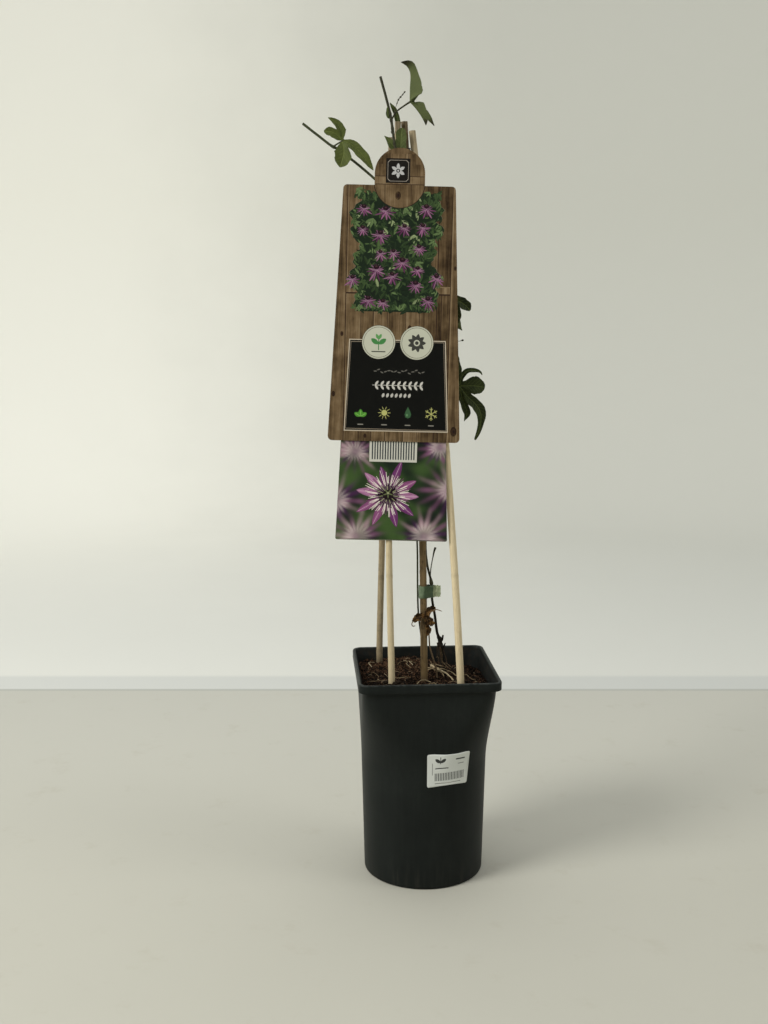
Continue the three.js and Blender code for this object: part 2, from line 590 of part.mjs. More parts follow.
const mainLeaves = [
  // the large leaf at the top, folded along its midribs
  {
    lobes: [
      lobe(
        [
          [-16.8, -10, 745.3], [-16.7, -10, 757.2], [-16.4, -10, 770.8], [-19.4, -10.3, 776.8],
          [-25.3, -11, 780.6],
        ],
        15, 56, [1, 0, 0.06], [0, 0.95, 0.97, 0.94, 0.8, 0.66, 0.57, 0.52, 0.47, 0.34, 0.1], 1.3,
      ),
      lobe(
        [
          [-16.8, -10, 745.3], [-11.4, -10.6, 740.7], [-5.2, -11.6, 733.6], [0.4, -12.6, 728.4],
          [5.5, -13.4, 723.8],
        ],
        8.2, 50, [0.7, 0.1, 0.7], [0, 0.75, 0.9, 1, 0.92, 0.86, 0.9, 0.85, 0.8, 0.6, 0.1], 1.1,
      ),
      lobe(
        [[-16.8, -10, 745.3], [-10.6, -9, 739], [-5, -7.6, 731.6], [-1.6, -7, 725.2]],
        5, 40, [0.7, 0.1, 0.7], [0, 0.6, 0.8, 0.9, 1, 1, 1, 0.95, 0.85, 0.6, 0.1], 0.6,
      ),
    ],
    fan: 290,
    webs: 0.2,
  },
  // the low leaf in front of the canes' tops
  {
    lobes: [
      lobe(
        [[-25, -8.6, 699], [-32.6, -8.2, 707], [-37, -8.4, 712.6], [-40.4, -8.6, 715.6]],
        3.6, 14, front,
      ),
      lobe(
        [[-25, -8.6, 699], [-25, -8.2, 708], [-24.7, -8, 715], [-23.6, -7.8, 722.6]],
        5.2, 14, front, [0, 0.6, 0.85, 1, 1, 1, 1, 0.98, 0.92, 0.75, 0.35], 1.4,
      ),
    ],
    fan: 130,
    webs: 0.2,
  },
  // the narrow leaf that rises between the canes' tops
  {
    lobes: [
      lobe(
        [[-27, 5.2, 717], [-26.6, 5.6, 727], [-27.6, 4.6, 734.6], [-30.4, 2.6, 740.6], [-34.4, 1, 746.4]],
        2.5, 16, front, [0, 0.8, 1, 1, 1, 1, 1, 0.95, 0.8, 0.5, 0.1],
      ),
    ],
    fan: 100,
  },
  // the small scale leaf at the upper joint
  {
    lobes: [
      lobe([[-34, -6, 731], [-36.6, -6.6, 732.6], [-37.2, -7, 741.2]], 1.4, 20, front, blunt),
    ],
    fan: 60,
  },
  // the lower leaf at the right edge of the label
  {
    lobes: [
      lobe(
        [[33, 1, 485.6], [30.6, 2, 500], [28.2, 3, 512], [27, 3.4, 520]],
        5, 10, front, [0, 0.6, 0.85, 1, 1, 1, 0.9, 0.85, 0.8, 0.65, 0.3], 0.8,
      ),
      lobe(
        [
          [33, 1, 485.6], [35.6, 1.6, 495], [41, 2.2, 500.2], [48, 2, 500.4], [53, 1.6, 498.9],
          [55, 1, 495.8],
        ],
        2.6, 20, [0.1, -1, 0.3], [0, 0.8, 1, 1, 1, 1, 0.9, 0.8, 0.6, 0.4, 0.1], 0.6,
      ),
      lobe(
        [[33, 1, 485.6], [44, -1, 486], [51, -2, 485.4], [57, -3, 484.4]],
        9.2, 10, [0.1, -1, 0.1], [0, 0.45, 0.75, 0.95, 1, 1, 0.98, 0.92, 0.8, 0.6, 0.25], 1.7,
      ),
      lobe(
        [
          [33, 1, 485.6], [41.4, -1, 475], [48.4, -2, 468.4], [53.2, -2, 461], [53.9, -1.4, 452],
          [52.4, -0.6, 443.6], [48.2, 0, 433.4],
        ],
        5.3, 12, front, [0, 0.35, 0.7, 0.95, 1, 0.97, 0.85, 0.6, 0.45, 0.35, 0.2], 1.1,
      ),
      lobe(
        [[33, 1, 485.6], [35.6, 1, 475], [38.4, 1, 467], [40.6, 1, 459.6], [37.8, 1, 451.6]],
        4, 14, [-0.1, -1, 0], [0, 0.5, 0.7, 0.85, 0.95, 1, 1, 0.95, 0.75, 0.4, 0.05], 0.8,
      ),
      lobe([[33, 1, 485.6], [25, 4, 478], [17.6, 7, 466]], 5, 20, [-0.2, -1, 0.1]),
    ],
    fan: 310,
    webs: [0.2, 0.2, 0.3, 0.4, 0.2],
  },
  // the upper leaf at the right edge of the label
  {
    lobes: [
      lobe([[26.3, 3, 568], [22, 6, 578], [15, 9, 586]], 6, 20, [0.1, -1, 0.2]),
      lobe(
        [[26.3, 3, 568], [33, 2.4, 565.4], [38.6, 1.6, 561.4], [42.6, 1, 557.2]],
        5.4, 14, [0.1, -1, 0.1], [0, 0.6, 0.9, 1, 1, 1, 0.98, 0.92, 0.8, 0.55, 0.2],
      ),
      lobe([[26.3, 3, 568], [29.6, 3.6, 557], [30.4, 4.4, 549], [29.6, 5, 541.4]], 4.4, 16, front),
    ],
    fan: 220,
    webs: 0.28,
  },
  openLeaf([1, 26, 468], [-0.1, 0.5, -0.8], [0, 1, 0.3], 32, 5, 11),
  openLeaf([8, 29, 565], [0.1, 0.4, -0.9], [0.1, 1, 0.3], 44, 5, 12),
];

// The thin vine: up the left side of the centre cane, across the front left cane behind the label,
// and out to the left to its cut end
const leftPath = [
  [-0.6, -9.8, 186], [-1, -9.6, 205], [-3.4, -8.6, 238], [-6.8, -9.2, 266], [-8, -8, 332], [-10.4, -6, 390],
  [-14, -4.6, 450], [-17.4, -5, 510], [-21, -7.4, 560], [-26, -11, 598], [-31.2, -12.5, 622],
  [-36, -11.9, 645], [-39.6, -9.4, 662], [-44, -6, 672.6], [-49.9, -4.2, 678.4], [-63.2, -3, 689.5],
  [-74.7, -2.4, 698.4], [-81, -2, 703.6], [-87.6, -2, 706.4], [-100.9, -2, 716], [-114.8, -2, 726.4],
];
const leftRadii = [0.9, 0.85, 0.85, 0.9, 0.95, 1, 1.1, 1.2, 1.2];

const leftTwigs = [
  [[[-87, -2.2, 706], [-83, -5.4, 708.4], [-78, -8.2, 710.8]], [0.9, 0.75, 0.8]],
  [[[-12.4, -5, 428], [-22, -2, 440], [-44, 2, 452], [-54, 4, 462]], [0.8, 0.75, 0.75, 0.75]],
  [[[-17.4, -5, 512], [-17, 10, 522], [-9, 28, 527]], [0.8, 0.75, 0.75]],
  [[[-35, -12, 640], [-46, -8, 634], [-58, 2, 622]], [0.8, 0.75, 0.75]],
];

const leftLeaves = [
  // the leaf on the left shoot
  {
    lobes: [
      lobe(
        [[-78.8, -8, 711], [-83, -7.6, 715.2], [-88.4, -7.4, 718.6], [-95.6, -7, 719.2]],
        4.4, 12, front, [0, 0.5, 0.8, 0.95, 1, 1, 1, 0.95, 0.85, 0.62, 0.2],
      ),
      lobe(
        [
          [-78.8, -8, 711], [-79.6, -8.6, 717.6], [-82.2, -9.2, 723.6], [-86.4, -9.6, 728],
          [-91.8, -10, 730.8],
        ],
        4.6, 20, [0.2, -1, 0.1], [0, 0.4, 0.75, 1, 1, 0.95, 0.8, 0.65, 0.5, 0.3, 0.05],
      ),
      lobe(
        [
          [-78.8, -8, 711], [-72, -8.8, 708], [-67, -9.4, 704.4], [-62.4, -9.8, 699.9], [-57.2, -10, 694],
          [-50.3, -9.6, 684.4],
        ],
        5, 20, [0, -1, 0.3], [0, 0.6, 0.9, 1, 1, 1, 0.95, 0.85, 0.65, 0.4, 0.05],
      ),
      lobe([[-78.9, -8, 710.3], [-77.6, -9.6, 700.4], [-81, -10, 686.8]], 8.4, 12, [0, -1, 0.1], blunt),
    ],
    fan: 300,
    webs: [0.5, 0.06, 0.28],
  },
  openLeaf([-54, 4, 462], [-0.5, 0.2, -0.6], [-0.4, 0.9, 0.3], 34, 5, 21),
  openLeaf([-9, 28, 527], [0.2, 0.4, -0.7], [0.1, 1, 0.3], 35, 5, 22),
  openLeaf([-58, 2, 622], [-0.3, 0.2, -0.8], [-0.4, 0.9, 0.2], 30, 3, 23),
];

const stem = ([points, radii], sides = 5) => tube(vectors(points), radii, sides, 2 * points.length);

function makeMainVine() {
  return fuse([
    stem([stumpPath, stumpRadii], 9),
    stem([mainPath, mainRadii], 8),
    ...mainTwigs.map((twig) => stem(twig)),
    ...mainLeaves.map(makeBlade),
  ]);
}

function makeLeftVine() {
  return fuse([
    stem([leftPath, leftRadii], 8),
    ...leftTwigs.map((twig) => stem(twig)),
    ...leftLeaves.map(makeBlade),
  ]);
}

// The dried leaf hangs on the front of the centre cane, with a dead strand down to the soil
const driedStrand = [
  [
    [-0.4, -19.6, 262.6], [1.8, -18, 255], [3.6, -12, 243], [5, -7.4, 230], [8.6, -5, 217],
    [12.4, -2.4, 204], [13.6, -1, 194],
  ],
  [0.6, 0.5, 0.5, 0.6, 0.6],
];
const driedHook = [
  [[-10.6, -19.8, 260], [-14, -19.8, 257.6], [-13.4, -19.8, 254.4], [-11, -19.6, 254.6]],
  [0.5, 0.45, 0.45, 0.45],
];
const driedLeaf = {
  lobes: [
    lobe(
      [[-0.4, -19.6, 263], [-4.6, -20.6, 265], [-8.6, -20.4, 263.6], [-13.2, -19.4, 258.4]],
      4.2, 36, [0.2, -1, 0.3], blunt,
    ),
    lobe(
      [[-0.4, -19.6, 263], [1.6, -20.4, 268.4], [5, -19.2, 271], [8.8, -17, 268]],
      4, 40, [0.1, -1, 0.4], blunt,
    ),
    lobe([[-0.4, -19.6, 263], [4, -20.6, 259.6], [5.6, -19, 253.6]], 3.6, 36, [0.3, -1, 0], blunt),
    lobe(
      [[-0.4, -19.6, 263], [-0.6, -21, 255], [-1, -20, 248.6], [-4.6, -19.8, 243]],
      4.2, 40, [0, -1, 0.1], blunt,
    ),
  ],
  fan: 290,
  webs: 0.3,
};

function makeDriedLeaf() {
  return fuse([makeBlade(driedLeaf), stem(driedStrand), stem(driedHook)]);
}

// Label -------------------------------------------------------------------------------------------

function roundedPath(corners) {
  const shape = new THREE.Shape();
  corners.forEach(([x, y, radius], index) => {
    const here = new THREE.Vector2(x, y);
    const from = new THREE.Vector2(...corners[(index + corners.length - 1) % corners.length]);
    const to = new THREE.Vector2(...corners[(index + 1) % corners.length]);
    const start = from.sub(here).setLength(radius).add(here);
    const end = to.sub(here).setLength(radius).add(here);
    if (index === 0) shape.moveTo(start.x, start.y);
    else shape.lineTo(start.x, start.y);
    shape.quadraticCurveTo(x, y, end.x, end.y);
  });
  return shape.closePath();
}

// A card in the label's own plane: X across, Z up, and its back at the given depth
function cardPlate(shape, back, thickness) {
  const settings = { depth: thickness, bevelEnabled: false, curveSegments: 5 };
  const geometry = new THREE.ExtrudeGeometry(shape, settings);
  return geometry.rotateX(Math.PI / 2).translate(0, -back, 0);
}

function makePictureCard() {
  const shape = roundedPath([
    [-cardHalfBottom, cardBottom, 2], [cardHalfBottom, cardBottom, 2],
    [cardHalfTop, cardTop, 4], [-cardHalfTop, cardTop, 4],
  ]);
  return cardPlate(shape, 0, cardThickness);
}

function makeBoard() {
  const trapezoid = roundedPath([
    [-boardHalfBottom, boardBottom, 5], [boardHalfBottom, boardBottom, 5],
    [boardHalfTop, boardTop, 4], [-boardHalfTop, boardTop, 4],
  ]);
  const tab = new THREE.Shape();
  tab.moveTo(-tabRadius, boardTop - tabRoot);
  tab.lineTo(tabRadius, boardTop - tabRoot);
  tab.lineTo(tabRadius, tabTop - tabRadius);
  tab.absarc(0, tabTop - tabRadius, tabRadius, 0, Math.PI, false);
  tab.closePath();
  const back = cardThickness + gap;
  const settings = { depth: boardThickness, bevelEnabled: false, curveSegments: 24 };
  const tabPlate = new THREE.ExtrudeGeometry(tab, settings);
  tabPlate.rotateX(Math.PI / 2).translate(0, -back, 0);
  return fromManifold(fuse([cardPlate(trapezoid, back, boardThickness), tabPlate]));
}

// The strap at the label's back: glued ends on the card, and a band behind the canes
const strapLow = 308;
const strapHigh = 317;
const strapThickness = 0.6;

function makeStrap() {
  const near = gap;
  const far = near + strapThickness;
  const outline = [
    [-38, near], [-24, near], [-12, 27], [20, 27], [34, near], [40.5, near], [40.5, far], [34.4, far],
    [20.4, 27 + strapThickness], [-12.4, 27 + strapThickness], [-24.4, far], [-38, far],
  ];
  const shape = new THREE.Shape(outline.map(([x, y]) => new THREE.Vector2(x, y)));
  const geometry = new THREE.ExtrudeGeometry(shape, { depth: strapHigh - strapLow, bevelEnabled: false });
  return geometry.translate(0, 0, strapLow);
}

// Pot sticker -------------------------------------------------------------------------------------

const stickerFrom = degrees(-92.7);
const stickerTo = degrees(-54.3);
const stickerLow = 106.2;
const stickerHigh = 139.4;
const stickerThickness = 0.5;

function makeSticker() {
  const columns = 10;
  const heights = [stickerLow, (stickerLow + stickerHigh) / 2, stickerHigh];
  const at = (height, column, lift) => {
    const angle = mix(stickerFrom, stickerTo, column / columns);
    const reach = wallReach(height, angle) + 1.5 * gap + lift;
    return V(reach * Math.cos(angle), reach * Math.sin(angle), height);
  };
  const loops = heights.map((height) => {
    const steps = Array.from({ length: columns + 1 }, (_, column) => column);
    const outer = steps.map((column) => at(height, column, stickerThickness));
    const inner = steps.toReversed().map((column) => at(height, column, 0));
    return [...outer, ...inner];
  });
  const shell = [];
  const count = loops[0].length;
  const points = loops.flat();
  for (let row = 0; row + 1 < loops.length; row += 1) {
    for (let side = 0; side < count; side += 1) {
      const a = row * count + side;
      const b = row * count + (side + 1) % count;
      shell.push([a, b, b + count], [a, b + count, a + count]);
    }
  }
  const top = (loops.length - 1) * count;
  for (let column = 0; column < columns; column += 1) {
    const [a, b, c, d] = [column, column + 1, count - 2 - column, count - 1 - column];
    shell.push([a, c, b], [a, d, c], [top + a, top + b, top + c], [top + a, top + c, top + d]);
  }
  return geometryFrom(points, shell);
}

// The whole plant ---------------------------------------------------------------------------------

const group = new THREE.Group();

function addPiece(parent, name, geometry, color, roughness, metalness = 0) {
  const mesh = new THREE.Mesh(geometry, new THREE.MeshStandardMaterial({ color, roughness, metalness }));
  mesh.name = name;
  parent.add(mesh);
  return mesh;
}

const stemHoles = [
  tube(vectors([[28, 32.9, 180], [25.4, 30.4, 198], [23.4, 28.4, 209]]), [4.1, 4.1, 3.4], 10, 4),
  tube(vectors([[-0.5, -9.9, 184], [-1, -9.6, 205], [-1.4, -9.4, 209]]), [1.5, 1.5, 1.5], 8, 4),
  tube(vectors([[13.8, -0.9, 191], [13.4, -1.2, 197], [12, -2.6, 210]]), [1.3, 1.3, 1.6], 8, 4),
];
const caneHoles = Object.values(canes).map((spec) => makeCane(spec, holeGap, 260));

addPiece(group, 'pot', makePot(), 0x23282a, 0.5);
addPiece(group, 'soil', makeSoil([...caneHoles, ...stemHoles]), 0x2e221b, 0.98);
for (const [name, spec] of Object.entries(canes)) {
  addPiece(group, name, makeCane(spec, 0, 1000), spec.color, 0.6);
}
addPiece(group, 'cane_tie', makeCaneTie(), 0x141414, 0.55);
addPiece(group, 'tape_tie', makeTapeTie(), 0x6b8568, 0.5);
addPiece(group, 'main_vine', fromManifold(makeMainVine()), 0x4c5a2e, 0.6);
addPiece(group, 'left_vine', fromManifold(makeLeftVine()), 0x556632, 0.6);
addPiece(group, 'dried_leaf', fromManifold(makeDriedLeaf()), 0x5e4226, 0.85);
addPiece(group, 'pot_sticker', makeSticker(), 0xe6e6e2, 0.45);

const label = new THREE.Group();
label.position.copy(labelFoot);
label.rotation.set(degrees(labelLean), degrees(labelRoll), degrees(labelTurn), 'ZXY');
group.add(label);
addPiece(label, 'picture_card', makePictureCard(), 0x7a5a86, 0.4);
addPiece(label, 'label_board', makeBoard(), 0x6a5140, 0.45);
addPiece(label, 'label_strap', makeStrap(), 0xb9b2a4, 0.6);

export default group;
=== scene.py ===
import bisect
import random
from math import atan2, cos, dist, exp, hypot, pi, radians, sin, sqrt, tan
import bpy
import bmesh
from mathutils import Matrix, Vector, bvhtree, geometry, noise


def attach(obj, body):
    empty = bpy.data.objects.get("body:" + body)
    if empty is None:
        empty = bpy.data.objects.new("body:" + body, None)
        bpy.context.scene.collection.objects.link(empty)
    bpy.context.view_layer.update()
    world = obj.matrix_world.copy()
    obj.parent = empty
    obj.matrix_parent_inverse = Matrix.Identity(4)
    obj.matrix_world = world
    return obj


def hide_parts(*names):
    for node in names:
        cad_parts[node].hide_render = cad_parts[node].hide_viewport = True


# A climbing passion flower as it is sold: cut back, trained on four canes in a nursery pot,
# with a printed card label. Lengths in this file are millimetres, and a mesh is made in metres.
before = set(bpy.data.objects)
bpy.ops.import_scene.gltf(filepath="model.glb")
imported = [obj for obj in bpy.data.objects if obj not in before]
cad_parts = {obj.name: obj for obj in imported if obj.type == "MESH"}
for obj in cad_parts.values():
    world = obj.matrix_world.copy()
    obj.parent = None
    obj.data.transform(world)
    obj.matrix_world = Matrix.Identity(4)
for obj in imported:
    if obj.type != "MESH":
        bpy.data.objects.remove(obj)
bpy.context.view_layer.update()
scene = bpy.context.scene
mm = 0.001
noise.seed_set(5)               # else its vector noise differs from run to run
print("frame loaded:", len(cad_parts), "nodes")

camera = {
    "place": (-120.7, -1155, 552.6),
    "turn": 4.004,              # degrees towards +X
    "tilt": 9.255,              # degrees down
    "lens": 42.42,
}


def addCamera():
    data = bpy.data.cameras.new("camera")
    data.lens = camera["lens"]
    data.sensor_width = 36
    data.clip_start = 0.05
    body = bpy.data.objects.new("camera", data)
    body.location = Vector(camera["place"]) * mm
    body.rotation_euler = (radians(90 - camera["tilt"]), 0, radians(-camera["turn"]))
    scene.collection.objects.link(body)
    scene.camera = body


addCamera()


def clamp(value):
    return min(max(value, 0), 1)


def mixed(a, b, t):
    return a + (b - a) * t


def mixedColor(one, two, t):
    return [mixed(a, b, t) for a, b in zip(one, two)]


def tint(color, part):
    return tuple(clamp(value * part) for value in color)


# Evenly spread angles of a whole turn
def turns(count, first=0):
    return [first + 2 * pi * index / count for index in range(count)]


# The place at a run and an angle from another place
def polar(x, y, run, angle):
    return x + run * cos(angle), y + run * sin(angle)


def oval(x, y, across, high=None, count=28):
    high = across if high is None else high
    return [(x + across * cos(angle), y + high * sin(angle)) for angle in turns(count)]


# A value between those of a list, by its share of the list's length
def along(values, share):
    place = clamp(share) * (len(values) - 1)
    index = min(int(place), len(values) - 2)
    return mixed(values[index], values[index + 1], place - index)


# Node trees: a wire is one socket, and each operator on wires adds a Math node
def operator(name, reflected=False):
    return lambda wire, other: wire.graph.math(name, *((other, wire) if reflected else (wire, other)))


class Wire:
    def __init__(self, graph, socket):
        self.graph = graph
        self.socket = socket

    def other(self, name):
        return Wire(self.graph, self.socket.node.outputs[name])

    __add__ = __radd__ = operator("ADD")
    __mul__ = __rmul__ = operator("MULTIPLY")
    __sub__, __rsub__ = operator("SUBTRACT"), operator("SUBTRACT", True)
    __truediv__, __rtruediv__ = operator("DIVIDE"), operator("DIVIDE", True)


class Graph:
    def __init__(self, tree):
        self.tree = tree

    # settings are set before the sockets, because some of them change which sockets a node has
    def node(self, kind, settings=None, inputs=None, output=0):
        made = self.tree.nodes.new(kind)
        for name, value in (settings or {}).items():
            if name == "stops":
                self.setStops(made.color_ramp, value)
            else:
                setattr(made, name, value)
        for place, value in (inputs or {}).items():
            if isinstance(value, Wire):
                self.tree.links.new(value.socket, made.inputs[place])
            else:
                made.inputs[place].default_value = value
        return Wire(self, made.outputs[output])

    def setStops(self, ramp, stops):
        while len(ramp.elements) < len(stops):
            ramp.elements.new(0.5)
        for element, (position, color) in zip(ramp.elements, stops):
            element.position = position
            element.color = (*color, 1)

    def math(self, operation, *values):
        return self.node("ShaderNodeMath", {"operation": operation}, dict(enumerate(values)))

    # 0 below the first value and 1 above the second, with a soft step between them
    def step(self, value, low, high):
        settings = {"interpolation_type": "SMOOTHSTEP"}
        return self.node("ShaderNodeMapRange", settings, {0: value, 1: low, 2: high, 3: 0, 4: 1})


class Finish(Graph):
    def __init__(self, name, roughness, **constants):
        self.material = bpy.data.materials.new(name)
        self.material.use_nodes = True
        super().__init__(self.material.node_tree)
        self.shader = self.tree.nodes["Principled BSDF"]
        self.shader.inputs["Roughness"].default_value = roughness
        for key, value in constants.items():
            self.shader.inputs[key.replace("_", " ")].default_value = value

    def feed(self, place, value):
        self.tree.links.new(value.socket, self.shader.inputs[place])

    # the object's own coordinates in millimetres
    def place(self, stretch=(1, 1, 1)):
        coords = self.node("ShaderNodeTexCoord", output=3)
        size = [1000 * value for value in stretch]
        return self.node("ShaderNodeMapping", {"vector_type": "POINT"}, {"Vector": coords, "Scale": size})

    def spread(self, name, output="Fac"):
        return self.node("ShaderNodeAttribute", {"attribute_name": name}, output=output)

    def split(self, vector):
        parts = self.node("ShaderNodeSeparateXYZ", inputs={0: vector})
        return parts, parts.other("Y"), parts.other("Z")

    def noise(self, vector, scale, detail=3, rough=0.55, warp=0):
        inputs = {"Vector": vector, "Scale": scale, "Detail": detail, "Roughness": rough, "Distortion": warp}
        return self.node("ShaderNodeTexNoise", inputs=inputs)

    def cells(self, vector, scale, feature="F1", output="Distance"):
        settings = {"feature": feature}
        return self.node("ShaderNodeTexVoronoi", settings, {"Vector": vector, "Scale": scale}, output)

    def ramp(self, value, stops):
        return self.node("ShaderNodeValToRGB", {"stops": stops}, {0: value})

    def mix(self, factor, one, two, blend="MIX"):
        settings = {"data_type": "RGBA", "blend_type": blend}
        one = one if isinstance(one, Wire) else (*one, 1)
        two = two if isinstance(two, Wire) else (*two, 1)
        return self.node("ShaderNodeMix", settings, {0: factor, 6: one, 7: two}, 2)

    def bump(self, height, depth, strength=1):
        inputs = {"Height": height, "Distance": depth * mm, "Strength": strength}
        self.feed("Normal", self.node("ShaderNodeBump", inputs=inputs))


def addPiece(name, points, faces, finishes, sharp=None, faceFinish=None, ink=None):
    mesh = bpy.data.meshes.new(name)
    mesh.from_pydata([Vector(p) * mm for p in points], [], faces)
    for finish in finishes:
        mesh.materials.append(finish.material)
    if faceFinish:
        mesh.polygons.foreach_set("material_index", faceFinish)
    if ink:
        attribute = mesh.attributes.new("ink", "FLOAT_COLOR", "CORNER")
        attribute.data.foreach_set("color", [part for color in ink for part in color])
    mesh.validate()
    mesh.shade_smooth()
    if sharp:
        mesh.set_sharp_from_angle(angle=radians(sharp))
    piece = bpy.data.objects.new(name, mesh)
    scene.collection.objects.link(piece)
    return piece


def standFor(piece, slot, *nodes):
    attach(piece, "root")
    if nodes:
        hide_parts(*nodes)


def spreadOver(piece, name, values, kind="FLOAT"):
    attribute = piece.data.attributes.new(name, kind, "POINT")
    flat = values if kind == "FLOAT" else [part for value in values for part in value]
    attribute.data.foreach_set("value" if kind == "FLOAT" else "vector", flat)


# The edges that have a face on one side only
def openEdges(faces):
    edges = {edge for face in faces for edge in zip(face, face[1:] + face[:1])}
    return [(a, b) for a, b in sorted(edges) if (b, a) not in edges]


# A sheet's faces, the same again on its back, whose points follow the front's, and the rim between them
def backed(faces, count):
    rim = [(b, a, count + a, count + b) for a, b in openEdges(faces)]
    return faces + [tuple(count + index for index in reversed(face)) for face in faces] + rim


# Closed loops of equal length, stitched to a skin with a fan at both ends
def skin(loops, capStart=True, capEnd=True):
    sides = len(loops[0])
    points = [p for loop in loops for p in loop]
    faces = []
    for ring in range(len(loops) - 1):
        for side in range(sides):
            nextSide = (side + 1) % sides
            low = ring * sides
            faces.append((low + side, low + nextSide, low + sides + nextSide, low + sides + side))
    last = (len(loops) - 1) * sides
    if capStart:
        points.append(sum((Vector(p) for p in loops[0]), Vector()) / sides)
        faces += [(len(points) - 1, (side + 1) % sides, side) for side in range(sides)]
    if capEnd:
        points.append(sum((Vector(p) for p in loops[-1]), Vector()) / sides)
        faces += [(len(points) - 1, last + side, last + (side + 1) % sides) for side in range(sides)]
    return points, faces


# A smooth curve through points, read by shares of its length
class Path:
    def __init__(self, points, perSpan=14):
        knots = [Vector(p) for p in points]
        knots = [2 * knots[0] - knots[1], *knots, 2 * knots[-1] - knots[-2]]
        self.line = []
        for a, b, c, d in zip(knots, knots[1:], knots[2:], knots[3:]):
            before, span, after = (b - a).length ** 0.5, (c - b).length ** 0.5, (d - c).length ** 0.5
            leave = ((b - a) / before - (c - a) / (before + span) + (c - b) / span) * span
            reach = ((c - b) / span - (d - b) / (span + after) + (d - c) / after) * span
            for step in range(perSpan):
                t = step / perSpan
                self.line.append(b + leave * t + (3 * (c - b) - 2 * leave - reach) * t * t
                                 + (2 * (b - c) + leave + reach) * t ** 3)
        self.line.append(knots[-2])
        self.run = [0]
        for a, b in zip(self.line, self.line[1:]):
            self.run.append(self.run[-1] + (b - a).length)
        self.length = self.run[-1]

    def at(self, share):
        goal = clamp(share) * self.length
        index = min(max(bisect.bisect_right(self.run, goal) - 1, 0), len(self.line) - 2)
        part = (goal - self.run[index]) / (self.run[index + 1] - self.run[index])
        return self.line[index].lerp(self.line[index + 1], part)

    def tangent(self, share):
        near = 0.5 / len(self.line)
        return (self.at(share + near) - self.at(share - near)).normalized()


# Loops round a path: radiusAt(share, angle) in millimetres
def tubeLoops(path, steps, sides, radiusAt):
    tangent = path.tangent(0)
    across = tangent.orthogonal().normalized()
    loops = []
    for step in range(steps + 1):
        share = step / steps
        turn = tangent.rotation_difference(path.tangent(share))
        across = turn @ across
        tangent = path.tangent(share)
        side = tangent.cross(across)
        middle = path.at(share)
        loops.append([middle + radiusAt(share, angle) * (cos(angle) * across + sin(angle) * side)
                      for angle in turns(sides)])
    return loops


# Several skins in one mesh, with named values for each point
class Shape:
    def __init__(self):
        self.points = []
        self.faces = []
        self.values = {}

    def add(self, points, faces, **values):
        start = len(self.points)
        self.points += points
        self.faces += [tuple(start + index for index in face) for face in faces]
        for name, value in values.items():
            row = self.values.setdefault(name, [])
            row += value if isinstance(value, list) else [value] * len(points)

    def piece(self, name, finishes, sharp=None):
        made = addPiece(name, self.points, self.faces, finishes, sharp)
        for key, row in self.values.items():
            spreadOver(made, key, row)
        return made


studio = {
    "floorRadius": 1900,
    "cove": 900,
    "wallHeight": 2400,
    "wallColor": (0.96, 0.955, 0.88),
    "shadeColor": (0.66, 0.665, 0.61),
    "floorColor": (0.43, 0.425, 0.365),
    "seamY": 577,
    "worldColor": (0.98, 0.99, 1),
    "worldLight": 0.73,
    # name, place, aims at, size, watts, color
    "lamps": [
        ("lamp_left", (-1700, -900, 1500), (0, 0, 350), 900, 42, (1, 0.98, 0.94)),
        ("lamp_right", (1700, -700, 1300), (0, 0, 400), 900, 8.5, (1, 0.98, 0.95)),
        ("lamp_top", (0, 300, 2300), (0, 0, 300), 1500, 9, (1, 1, 1)),
    ],
}


